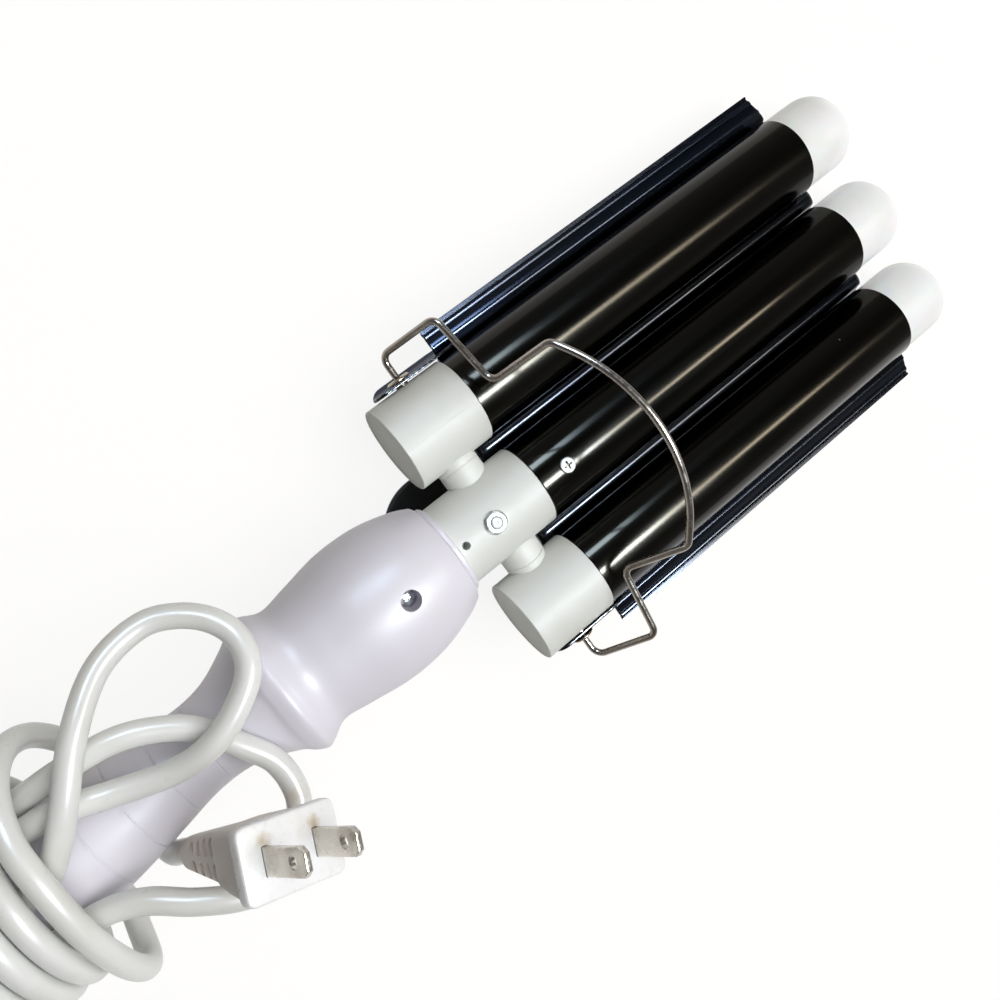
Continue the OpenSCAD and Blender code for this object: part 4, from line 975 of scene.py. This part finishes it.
class HAIRWAVER_OT_lever(bpy.types.Operator):
    """Adds the thumb lever, its rivets, the clamp spring and the hinge bushes"""
    bl_idname = "hairwaver.lever"
    bl_label = "Thumb lever, spring and bushes"

    def execute(self, context):
        sizes = context.scene.waver_sizes
        back = PLACE.inverted() @ LEVEL
        edge = filleted([(0, 0, 0), (17.6, 0, 0.25), (18, 0.5, 0.3), (18, 1.7, 0.7), (17.2, 2.4, 0.4),
                         (15.6, 2.4, 0.3), (15.0, 1.9, 0.3), (0, 1.9, 0)])
        pad = lathe("thumb_lever_body", edge, "Z", (0, 0, 0), 120)
        pad.data.transform(back)
        neck = prism("neck", filleted([(8, -8, 0), (22.5, -8, 1), (22.5, 8, 1), (8, 8, 0)], True), 0.15, 2.35)
        neck = bevelled(neck, 0.5, 3)
        neck.data.transform(back)
        rise = [(17.5, -30.25, 1), (24.2, -30.6, 2.2), (30.2, -17.15, 2.5), (43.6, -17.15, 1.2),
                (43.9, -13.6, 0.4), (28.2, -13.4, 1.5), (26.6, -15.3, 1.5), (20.2, -27.0, 2.5),
                (17.5, -27.4, 0.5)]
        arm = bevelled(prism("arm", filleted(rise, True, 6), -8, 8, "XZY"), 0.9, 4, 50)
        bed = drill("X", (0, 0, 0), PLATE_IN + PLATE_T + 0.06, 0, 60, 120)
        under = prism("under", corners(-60, -40, 60, 40), -40, 0.08)
        under.data.transform(back)
        cut(arm, bed, under)
        stud = lathe("stud", filleted([(0, 1.5, 0), (2.5, 1.5, 0), (2.5, 3.4, 0.5), (0, 3.4, 0)]), "Z",
                     (SPRING_AT[0], 0, 0), 32)
        stud.data.transform(back)
        rib = prism("rib", corners(-0.5, -10.5, 0.5, 10.5), -0.5, 0.45)
        ribs = row("ribs", rib, "lever", sizes.grip_grooves, (-6.5, 0, 0), (2.3, 0, 0))
        ribs.data.transform(back)
        cut(pad, ribs)
        finished(joined(pad, neck, arm, stud), "lever", "clamp", "lever_black", "thumb_lever", sharp=40)
        head = lathe("head", filleted([
            (0, -1.1, 0), (1.4, -1.05, 0.5), (2.5, -0.55, 0.5), (2.7, 0, 0.1), (1.5, 0, 0), (1.5, 3.9, 0),
            (0, 3.9, 0)]), "Z", (0, 0, -17.2), 40)
        rivets = row("rivets_of_the_lever", head, "steel", 2, (33.6, 0, 0), (7, 0, 0))
        finished(rivets, "steel", "clamp", "steel", "lever_rivets")
        x0, _, z0 = SPRING_AT
        r, wire, rise, turns = 3.55, 0.45, 9.4, 4
        path = []
        for k in range(turns * 40 + 1):
            t = k / (turns * 40)
            u = min(1, max(0, (t - 0.13) / 0.74))
            a = 2 * math.pi * turns * t
            path.append((x0 + r * math.cos(a), r * math.sin(a), z0 + wire + (rise - 2 * wire) * u))
        coil = tube("spring_coil", path, wire, 12, 0.45, "steel")
        finished(coil, "steel", "root", "steel", "clamp_spring", place=LEVEL)
        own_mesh(coil)
        for s, where in ((1, "left"), (-1, "right")):
            face = CAP_R + 0.5 + PLATE_T + 0.3
            outline = filleted([
                (1.15, CAP_R - 1.4, 0), (1.95, CAP_R - 1.4, 0.1), (1.95, face, 0.1), (3.5, face, 0.15),
                (3.6, face + 0.3, 0.2), (3.1, face + 0.78, 0.3), (1.7, face + 0.8, 0.4),
                (1.15, face + 0.3, 0.2)], True, 5)
            bush = lathe("bush_" + where, outline, "Y", (HINGE_X, 0, 0), 56)
            for v in bush.data.vertices:
                v.co.y = s * (PITCH + v.co.y)
            if s < 0:
                bush.data.flip_normals()
            finished(bush, "bush", "root", "bush_brass", "hinge_bush_" + where)
        return {"FINISHED"}


def rounded_corner(a, b, c, r, steps=8):
    """The points of a bend with radius r where a path turns at b on its way from a to c."""
    u, v = (b - a).normalized(), (c - b).normalized()
    turn, axis = u.angle(v), u.cross(v).normalized()
    start = b - u * r * math.tan(turn / 2)
    centre = start + axis.cross(u) * r
    return [centre + Matrix.Rotation(turn * k / steps, 3, axis) @ (start - centre) for k in range(steps + 1)]


class HAIRWAVER_OT_wire_rest(bpy.types.Operator):
    """Adds the bent wire rest"""
    bl_idname = "hairwaver.wire_rest"
    bl_label = "Wire rest"

    def execute(self, context):
        angle, bow_r, neck_y, leg_y = math.radians(49.5), 47.9, 32.0, 53.2
        bow_centre = 45 + 12.4 - bow_r
        bow_end = math.degrees(math.asin(neck_y / bow_r)) - 6
        bow = arc(bow_centre, 0, bow_r, bow_end, -bow_end, 40)
        e = math.radians(bow_end)
        run = (neck_y + 0.5 - bow[0][1]) / math.cos(e)
        bends = [Vector((x, y, 0)) for x, y in (
            (0, ARM_Y - 2.5), (0, leg_y), (21.2, leg_y + 0.3), (24.5, neck_y - 0.6),
            (bow[0][0] - run * math.sin(e), bow[0][1] + run * math.cos(e)), bow[0])]
        half = [bends[0]]
        for a, b, c in zip(bends, bends[1:], bends[2:]):
            half += rounded_corner(a, b, c, 3.0)
        flat = half + [Vector((x, y, 0)) for x, y in bow] + [Vector((p.x, -p.y, 0)) for p in half[::-1]]
        turn = Matrix.Translation((HINGE_X, 0, 0)) @ Matrix.Rotation(-angle, 4, "Y")
        path = [tuple(turn @ p) for p in flat]
        piece = tube("wire_rest_bent", path, context.scene.waver_sizes.wire_radius * 1000, 16, 0.8, "wire")
        finished(piece, "wire", "rest", "wire_steel", "wire_rest", sharp=50)
        return {"FINISHED"}


def handle_section(groove_depth):
    """Distances from the axis and places along it of the handle's wall, with the rings round its grip."""
    xs = [x for x, _ in HANDLE_LINE if all(abs(x - g) > 0.5 for g in GROOVES)]
    xs += [g + d for g in GROOVES for d in (0.45, 0.28, 0.1, -0.1, -0.28, -0.45)]
    return [(handle_radius(x) - (groove_depth if any(abs(x - g) < 0.15 for g in GROOVES) else 0), x)
            for x in sorted(xs, reverse=True)]


class HAIRWAVER_OT_handle(bpy.types.Operator):
    """Adds the two handle shells with their rings and screw holes, and the screws"""
    bl_idname = "hairwaver.handle"
    bl_label = "Handle"

    def execute(self, context):
        outer = handle_section(context.scene.waver_sizes.groove_depth * 1000)
        front, rear = outer[0][1], outer[-1][1]
        # Rounded lips at both ends, and the walls behind them
        skin = [(13.05, front - 0.3), (13.6, front), (14.7, front), (15.2, front - 0.15)]
        skin += [(r, x) for r, x in outer if rear + 0.6 < x < front - 0.5]
        skin += [(14.75, rear + 0.35), (14.3, rear + 0.08), (13.9, rear), (7.4, rear), (6.7, rear + 0.2)]
        inner = []
        for r, x in skin:
            if x > front - 0.6:
                inner.append((13.0, front - 2.8))
            elif x < rear + 0.62:
                inner.append((max(min(r, 12.2), 6.6), rear + 2.9))
            else:
                inner.append((r - 2.2, min(max(x, rear + 2.95), front - 2.85)))
        steps, split = 84, math.radians(0.12)
        shells = {}
        for part, start in (("front", 0.0), ("back", math.pi)):
            low, high = start + split, start + math.pi - split
            # Fine steps next to the split, whose edge lies a little deeper
            angles = [low + (high - low) * k / steps for k in range(steps + 1)]
            angles[1], angles[2], angles[-3], angles[-2] = low + 0.014, low + 0.03, high - 0.03, high - 0.014
            rings = []
            for a in angles:
                shy = 0.22 if a in (low, high) else 0.0
                rings.append([about("X", (0, 0, LIFT), r - shy, x, a) for r, x in skin]
                             + [about("X", (0, 0, LIFT), r, x, a) for r, x in inner[::-1]])
            shells[part] = loft("handle_" + part, rings, folded=True)
        sleeves = []
        for x in HANDLE_SCREWS:
            top = LIFT + handle_radius(x)
            hole = lathe("hole", [(0, -14), (2.75, -14), (2.75, -0.35), (3.2, 0.6), (0, 0.6)], "Z",
                         (x, 0, top), 48)
            cut(shells["front"], hole)
            sleeves.append(lathe("sleeve", filleted([
                (1.5, LIFT + 2.5, 0), (3.8, LIFT + 2.5, 0), (3.8, top - 1.2, 0), (2.75, top - 1.0, 0),
                (2.75, top - 7.5, 0), (1.5, top - 7.5, 0)]), "Z", (x, 0, 0), 48))
        # Recess of the control panel, between the panel's outline and the handle's wall
        pocket = prism("pocket", slot_outline(-60.5, -24.9, 16.2), -32, LIFT - 14.6)
        xs = [-63 + 42 * k / 60 for k in range(61)]
        cut(pocket, lathe("core", [(0, xs[0]), *((handle_radius(x) - 1.6, x) for x in xs), (0, xs[-1])],
                          centre=(0, 0, LIFT), segments=120))
        cut(shells["back"], pocket)
        seat = lathe("seat", filleted([(0, 16.2, 0), (4.5, 16.2, 0), (4.5, 11.8, 0.3), (0, 11.8, 0)]), "Z",
                     (SPRING_AT[0], 0, 0), 40)
        seat.data.transform(PLACE.inverted() @ LEVEL)
        for part, inside in (("front", sleeves), ("back", [seat])):
            finished(joined(shells[part], *inside), "handle", "root", "handle_white", "handle_shell_" + part,
                     sharp=42)
        tops = [LIFT + handle_radius(x) - 7.5 for x in HANDLE_SCREWS]
        end = LIFT - 8 - tops[0]
        head = lathe("head", filleted([
            (0, end, 0), (1.0, end, 0.3), (1.0, 0, 0), (2.4, 0, 0.1), (2.5, 0.35, 0.2), (2.2, 1.1, 0.4),
            (1.0, 1.45, 0.4), (0, 1.5, 0)]), "Z", segments=48)
        cut(head, *cross_recess(0, 0, 1.5, 1.5, 0.62, 0.85))
        screws = row("screws_of_the_handle", head, "steel", 2, (HANDLE_SCREWS[0], 0, tops[0]),
                     (HANDLE_SCREWS[1] - HANDLE_SCREWS[0], 0, tops[1] - tops[0]))
        finished(screws, "steel", "root", "steel", "handle_screws")
        return {"FINISHED"}


def slot_outline(rear, front, width, steps=24):
    """A long round-ended outline along X."""
    r = width / 2
    return arc(front - r, 0, r, -90, 90, steps) + arc(rear + r, 0, r, 90, 270, steps)


def on_back(x, y, out=0.0):
    """A point on the back of the handle, that far outside its surface."""
    r = handle_radius(x) + out
    return (x, y, LIFT - math.sqrt(r * r - y * y))


def divided(outline, step):
    """The closed outline with extra points, so that no side is longer than the step."""
    out = []
    for a, b in zip(outline, outline[1:] + outline[:1]):
        n = max(1, math.ceil(math.dist(a, b) / step))
        out += [(a[0] + (b[0] - a[0]) * k / n, a[1] + (b[1] - a[1]) * k / n) for k in range(n)]
    return out


def back_patch(name, outline, out, thick, grid=22):
    """A piece of sheet that follows the handle's back inside an outline that is convex."""
    outline = divided(outline, 1.0)
    cx, m = sum(p[0] for p in outline) / len(outline), len(outline)
    verts, faces = [], []
    for side, level in ((1, out), (-1, out - thick)):
        base = len(verts)
        verts.append(on_back(cx, 0, level))
        for i in range(1, grid + 1):
            k = i / grid
            edge = 0.12 if i == grid and side > 0 else 0.0
            verts += [on_back(cx + (x - cx) * k, y * k, level - edge) for x, y in outline]
        faces += [(base, base + 1 + k, base + 1 + (k + 1) % m) for k in range(m)]
        for i in range(grid - 1):
            a = base + 1 + i * m
            faces += [(a + k, a + (k + 1) % m, a + m + (k + 1) % m, a + m + k) for k in range(m)]
    top, low = 1 + (grid - 1) * m, 2 + grid * m + (grid - 1) * m
    faces += [(top + k, top + (k + 1) % m, low + (k + 1) % m, low + k) for k in range(m)]
    return shape(name, verts, faces)


class HAIRWAVER_OT_controls(bpy.types.Operator):
    """Adds the control panel on the handle's back, its window and its three buttons"""
    bl_idname = "hairwaver.controls"
    bl_label = "Panel and buttons"

    def execute(self, context):
        panel = back_patch("panel_face", slot_outline(-60.3, -25.1, 15.9, 28), 0.0, 1.5, 30)
        x0, x1 = -41.6, -28.4
        cut(panel, prism("opening", filleted(corners(x0, -6.35, x1, 6.35, 1.2), True, 6), -30, -5))
        for x in BUTTON_X:
            hole = prism("hole", slot_outline(-4.75, 4.75, 3.8, 10), -30, -5)
            hole.data.transform(Matrix.Translation((x, 0, 0)) @ Matrix.Rotation(math.pi / 2, 4, "Z"))
            cut(panel, hole)
        finished(panel, "panel", "root", "panel_black", "control_panel", sharp=40)
        pane = back_patch("window_pane", filleted(corners(x0 + 0.1, -6.25, x1 - 0.1, 6.25, 1.1), True, 8),
                          -0.12, 1.3, 16)
        finished(pane, "window", "root", "window_smoke", "display_window", sharp=40)
        names = (("plus", "plus_key"), ("minus", "minus_key"), ("power", "power_key"))
        for (mark, body), x in zip(names, BUTTON_X):
            surface = LIFT - handle_radius(x)
            top, low = surface - 1.15, surface + 3.0
            outline = slot_outline(-4.45, 4.45, 3.36, 14)
            rings = []
            for z, shy in (
                    (low, 0), (top + 0.5, 0), (top + 0.28, 0.03), (top + 0.12, 0.12), (top + 0.03, 0.27),
                    (top, 0.5), (top + 0.03, 0.9), (top + 0.06, 1.2)):
                k = 1 - shy / 1.68
                ring = []
                for u, v in outline:
                    lean = max(abs(u) - 2.77, 0) * (1 if u > 0 else -1)
                    ring.append((v * k + x, (u - lean) + lean * k, z))
                rings.append(ring)
            key = loft("key_" + mark, rings)
            flange = prism("flange", corners(x - 2.15, -5.1, x + 2.15, 5.1), low - 0.6, low)
            finished(joined(key, bevelled(flange, 0.15, 2)), "button", body, "button_grey", "button_" + mark)
            marks = []
            for u0, v0, u1, v1, sink, rise in MARK_BARS[mark]:
                marks.append(prism("bar", corners(x + u0, v0, x + u1, v1), top - sink, top + rise))
            if mark == "power":
                ring = arc(x, 0, 1.0, 40, 320, 28) + arc(x, 0, 0.7, 320, 40, 28)
                marks.insert(0, loft("ring", [[(u, v, z) for u, v in ring] for z in (top - 0.05, top + 0.25)],
                                     folded=True))
            piece = joined(*marks)
            piece.name = "mark_" + mark
            finished(piece, "symbol", body, "part_dark")
        return {"FINISHED"}


class HAIRWAVER_OT_cord(bpy.types.Operator):
    """Adds the strain relief that turns in the handle, the cord, and the plug with its blades"""
    bl_idname = "hairwaver.cord"
    bl_label = "Cord and plug"

    def execute(self, context):
        sizes = context.scene.waver_sizes
        turned = self.swivel()
        plug = self.plug(sizes)
        route = smooth_line(cord_route(), 5)
        piece = tube("cord_sheath", [tuple(p) for p in route], CORD_R, sizes.tube_sides, 1.6, "cord")
        finished(piece, "cord", "root", "cord_white", "cord_loops", "cord_winding", "cord_tail", sharp=60)
        return {"FINISHED"}

    def swivel(self):
        rear = -165.4
        outline = [(0, -154, 0), (5, -154, 0.4), (5, -158.8, 0.3), (8.9, -158.8, 0.3), (8.9, -161.6, 0.3),
                   (5.9, -161.6, 0.2), (5.9, rear + 0.2, 0.1), (6.9, rear, 0.2), (7.4, rear - 0.5, 0.4),
                   (7.4, rear - 3.4, 0.4), (6.9, rear - 3.8, 0.1)]
        rib = (rear - RELIEF_END - 6) / 5
        for k in range(5):
            x, r = rear - 4 - k * rib, 6.9 - 0.35 * k
            outline += [(r - 1, x, 0.15), (r - 1, x - 1, 0.25), (r, x - 1.1, 0.25),
                        (r - 0.1, x - rib + 0.2, 0.3)]
        outline += [(4.5, RELIEF_END + 1.6, 0.3), (4.1, RELIEF_END, 0.4), (0, RELIEF_END, 0)]
        piece = lathe("relief_at_handle", filleted(outline), centre=(0, 0, LIFT), segments=72)
        return finished(piece, "relief", "swivel", "cord_white", "cord_swivel")

    def plug(self, sizes):
        def ring(w, h, corner, z):
            return [(u, v, z) for u, v in filleted(corners(-w / 2, -h / 2, w / 2, h / 2, corner), True, 8)]
        w, h = PLUG_W, PLUG_H
        face = [ring(w - shy, h - shy, corner, z) for shy, corner, z in (
            (1.4, 2.0, 0.0), (0.75, 2.3, -0.06), (0.25, 2.4, -0.3), (0, 2.5, -0.8), (0, 2.5, -2.9),
            (0.3, 2.4, -3.4), (1.3, 2.4, -3.7))] + [ring(w - 2.6, h - 2.4, 2.4, -3.8)]
        behind = [ring(w - a, h - b, corner, z) for a, b, corner, z in (
            (3.0, 3.0, 2.4, -3.6), (1.9, 1.5, 2.4, -3.7), (2.1, 1.7, 2.4, -5.0), (3.2, 2.0, 2.6, -8),
            (4.7, 2.4, 2.8, -12), (6.4, 2.8, 3.0, -16), (8.0, 3.2, 3.2, -19.5), (9.1, 3.5, 3.2, -21.4),
            (9.7, 3.9, 3.2, -21.9))]
        body = loft("plug_moulding", face)
        for s in (-1, 1):
            slot = loft("slot", [ring(1.66, 6.5, 0.3, -4.5), ring(1.66, 6.5, 0.3, 1)])
            slot.data.transform(Matrix.Translation((s * BLADE_PITCH / 2, 0, 0)))
            cut(body, slot)
        finished(body, "plug", "root", "cord_white", "plug_body", place=PLACE @ PLUG, sharp=38)
        # The plug's body behind its face takes the darker relief finish: painted shade
        neck = finished(loft("plug_neck", behind), "relief", "root", "cord_white", place=PLACE @ PLUG,
                        sharp=38)
        end = -PLUG_L - RELIEF_L
        rings = [ring(14.4, 13.0, 3.1, -PLUG_L + 0.1)]
        for k in range(13):
            t = k / 12
            rings.append(ring(14.2 - 5.2 * t, 12.9 - 4.5 * t, 3.1 + 0.6 * t,
                              -PLUG_L - 0.6 - (RELIEF_L - 2.4) * t))
        rings += [ring(8.6, 8.1, 3.8, end + 0.9), ring(7.8, 7.8, 3.7, end + 0.3),
                  ring(7.0, 7.0, 3.45, end + 0.02)]
        relief = loft("relief_at_plug", rings)
        for k in range(4):
            along, across = 3.4 + 4.6 * k, 4.5 - 0.4 * k
            half = 7.1 - 2.6 * along / RELIEF_L
            for s in (1, -1):
                for side in (1, -1):
                    slot = prism("slot", slot_outline(-across / 2, across / 2, 2.8, 8), -1.5, 1.5, "YZX")
                    at = Vector((s * half, side * (2.95 - 0.25 * k), -PLUG_L - along))
                    slot.data.transform(Matrix.Translation(at))
                    cut(relief, slot)
        finished(relief, "relief", "root", "cord_white", "plug_relief", place=PLACE @ PLUG, sharp=38)
        top = 16.85
        outline = filleted([(-3.17, -7.6, 0), (3.17, -7.6, 0), (3.17, top - 1.7, 0.3), (1.9, top, 0.3),
                            (-1.9, top, 0.3), (-3.17, top - 1.7, 0.3)], True, 4)
        blade = bevelled(prism("blade", outline, -0.75, 0.75, "YZX"), 0.22, 3, 40)
        hole = drill("X", (0, 0, 11.8), sizes.blade_hole * 1000, -2, 2, 28)
        fold = prism("fold", corners(-0.07, -5, 0.07, 5), top - 0.35, top + 1)
        cut(blade, hole, fold)
        blade.data.transform(PLUG_ROTATION)
        first = PLUG @ Vector((-BLADE_PITCH / 2, 0, 0))
        step = PLUG.to_3x3() @ Vector((BLADE_PITCH, 0, 0))
        blades = row("blades_of_the_plug", blade, "blade", 2, tuple(first), tuple(step))
        finished(blades, "blade", "root", "blade_nickel", "plug_blades")
        return [body, neck, relief, blades]


class HAIRWAVER_OT_inner_parts(bpy.types.Operator):
    """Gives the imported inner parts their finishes"""
    bl_idname = "hairwaver.inner_parts"
    bl_label = "Inner parts"

    def execute(self, context):
        finish_of = {
            "heater": "ceramic", "heat_spreader": "aluminium", "temperature_sensor": "ceramic",
            "heater_leads": "lead", "display_module": "dark", "tact_switches": "dark",
            "circuit_board": "board", "board_screws": "steel", "board_parts": "dark",
            "mains_lead": "cord", "swivel_socket": "steel",
        }
        for name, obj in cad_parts.items():
            if obj.hide_render:
                continue
            keys = [k for k in sorted(finish_of, key=len, reverse=True) if name.startswith(k)]
            if not keys:
                raise RuntimeError("no finish for " + name)
            obj.data.materials.clear()
            obj.data.materials.append(MATERIALS[finish_of[keys[0]]])
        return {"FINISHED"}


class HAIRWAVER_OT_stage(bpy.types.Operator):
    """Adds the floor, the soft light and the camera"""
    bl_idname = "hairwaver.stage"
    bl_label = "Stage"

    def execute(self, context):
        scene = context.scene
        scene.view_settings.view_transform = "Standard"
        turn = PLACE.to_3x3().normalized()
        right, down, ahead = (turn @ Vector(v) for v in CAMERA_AXES)
        cam = bpy.data.cameras.new("Camera")
        cam.sensor_width, cam.lens, cam.clip_start, cam.clip_end = 36, LENS, 0.01, 20
        eye = linked("Camera", cam)
        spot = PLACE @ Vector(CAMERA_AT)
        eye.matrix_world = Matrix.Translation(spot) @ Matrix((right, -down, -ahead)).transposed().to_4x4()
        scene.camera = eye
        bm = bmesh.new()
        bmesh.ops.create_grid(bm, x_segments=8, y_segments=8, size=3.0)
        mesh = bpy.data.meshes.new("floor")
        bm.to_mesh(mesh)
        bm.free()
        mesh.materials.append(self.floor_finish())
        linked("floor", mesh)
        self.world(scene)
        for name, spot, long, wide, power, tint, rays in LAMPS:
            light = bpy.data.lights.new(name, "AREA")
            light.shape, light.size, light.size_y = "RECTANGLE", long, wide
            light.energy, light.color = power, tint
            lamp = linked(name, light)
            z = (turn @ Vector((0, spot[1], spot[2]))).normalized()
            y = z.cross(turn @ Vector((1, 0, 0))).normalized()
            lamp.matrix_world = (Matrix.Translation(PLACE @ (Vector(spot) * 1000))
                                 @ Matrix((y.cross(z), y, z)).transposed().to_4x4())
            lamp.visible_camera = False
            lamp.visible_diffuse, lamp.visible_glossy = rays == "diffuse", rays == "glossy"
        return {"FINISHED"}

    def floor_finish(self):
        mat = bpy.data.materials.new("Pale floor")
        mat.use_nodes = True
        tree = mat.node_tree
        shader = tree.nodes["Principled BSDF"]
        matt = {"Base Color": (0.5, 0.48, 0.42, 1), "Roughness": 0.9, "Specular IOR Level": 0.0}
        for key, value in matt.items():
            shader.inputs[key].default_value = value
        wired(tree, {"shader": shader, "out": tree.nodes["Material Output"]}, {
            "rays": ("LightPath", {}, {}), "either": ("Math", {"operation": "MAXIMUM"}, {}),
            "share": ("Math", {"operation": "MULTIPLY"}, {1: 0.72}),
            "glow": ("Emission", {}, {"Strength": 1.22}), "mix": ("MixShader", {}, {})},
            "rays.Is Camera Ray > either.0, rays.Is Glossy Ray > either.1, either.0 > share.0, "
            "share.0 > mix.Fac, shader.0 > mix.1, glow.0 > mix.2, mix.0 > out.Surface")
        return mat

    def world(self, scene):
        world = bpy.data.worlds.new("Studio")
        scene.world = world
        world.use_nodes = True
        tree = world.node_tree
        tree.nodes.clear()
        bright_side = Vector((0.8, -0.25, 0.6)).normalized()
        wired(tree, {}, {
            "rays": ("LightPath", {}, {}), "where": ("TexCoord", {}, {}), "split": ("SeparateXYZ", {}, {}),
            "seen": ("Background", {}, {"Color": (1, 1, 1, 1), "Strength": 1.0}),
            "lit": ("Background", {}, {"Color": (0.97, 0.98, 1, 1)}), "room": ("Background", {}, {}),
            "facing": ("VectorMath", {"operation": "DOT_PRODUCT"}, {1: bright_side}),
            "soft": ("MapRange", {}, {"From Min": -0.1, "From Max": 1.0, "To Min": 0.03, "To Max": 0.62}),
            "height": ("MapRange", {}, {"From Min": 0.05, "From Max": 0.8, "To Min": 0.4, "To Max": 0.1}),
            "first": ("MixShader", {}, {}), "second": ("MixShader", {}, {}), "out": ("OutputWorld", {}, {})},
            "where.Generated > facing.0, facing.Value > soft.Value, soft.Result > lit.Strength, "
            "where.Generated > split.0, split.Z > height.Value, height.Result > room.Strength, "
            "rays.Is Glossy Ray > first.Fac, lit.0 > first.1, room.0 > first.2, "
            "rays.Is Camera Ray > second.Fac, first.0 > second.1, seen.0 > second.2, second.0 > out.Surface")


class HAIRWAVER_PT_panel(bpy.types.Panel):
    """Sizes, colours and pieces of the hair waver"""
    bl_idname = "HAIRWAVER_PT_panel"
    bl_label = "Hair Waver"
    bl_space_type = "VIEW_3D"
    bl_region_type = "UI"
    bl_category = "Hair Waver"

    def draw(self, context):
        layout = self.layout
        for group in (context.scene.waver_sizes, context.scene.waver_colours):
            box = layout.box()
            for key in group.bl_rna.properties.keys():
                if key not in ("rna_type", "name"):
                    box.prop(group, key)
        for operator in OPERATORS:
            layout.operator(operator.bl_idname)


OPERATORS = (
    HAIRWAVER_OT_finishes, HAIRWAVER_OT_stage, HAIRWAVER_OT_cord, HAIRWAVER_OT_barrels, HAIRWAVER_OT_housing,
    HAIRWAVER_OT_fasteners, HAIRWAVER_OT_clamp_plate, HAIRWAVER_OT_lever, HAIRWAVER_OT_wire_rest,
    HAIRWAVER_OT_handle, HAIRWAVER_OT_controls, HAIRWAVER_OT_inner_parts,
)
CLASSES = (WaverSizes, WaverColours, *OPERATORS, HAIRWAVER_PT_panel)


def register():
    for cls in CLASSES:
        bpy.utils.register_class(cls)
    bpy.types.Scene.waver_sizes = PointerProperty(type=WaverSizes)
    bpy.types.Scene.waver_colours = PointerProperty(type=WaverColours)


def unregister():
    del bpy.types.Scene.waver_colours
    del bpy.types.Scene.waver_sizes
    for cls in reversed(CLASSES):
        bpy.utils.unregister_class(cls)


def main():
    register()
    for operator in OPERATORS:
        group, name = operator.bl_idname.split(".")
        if getattr(getattr(bpy.ops, group), name)() != {"FINISHED"}:
            raise RuntimeError(operator.bl_idname + " did not finish")


if __name__ == "__main__":
    main()
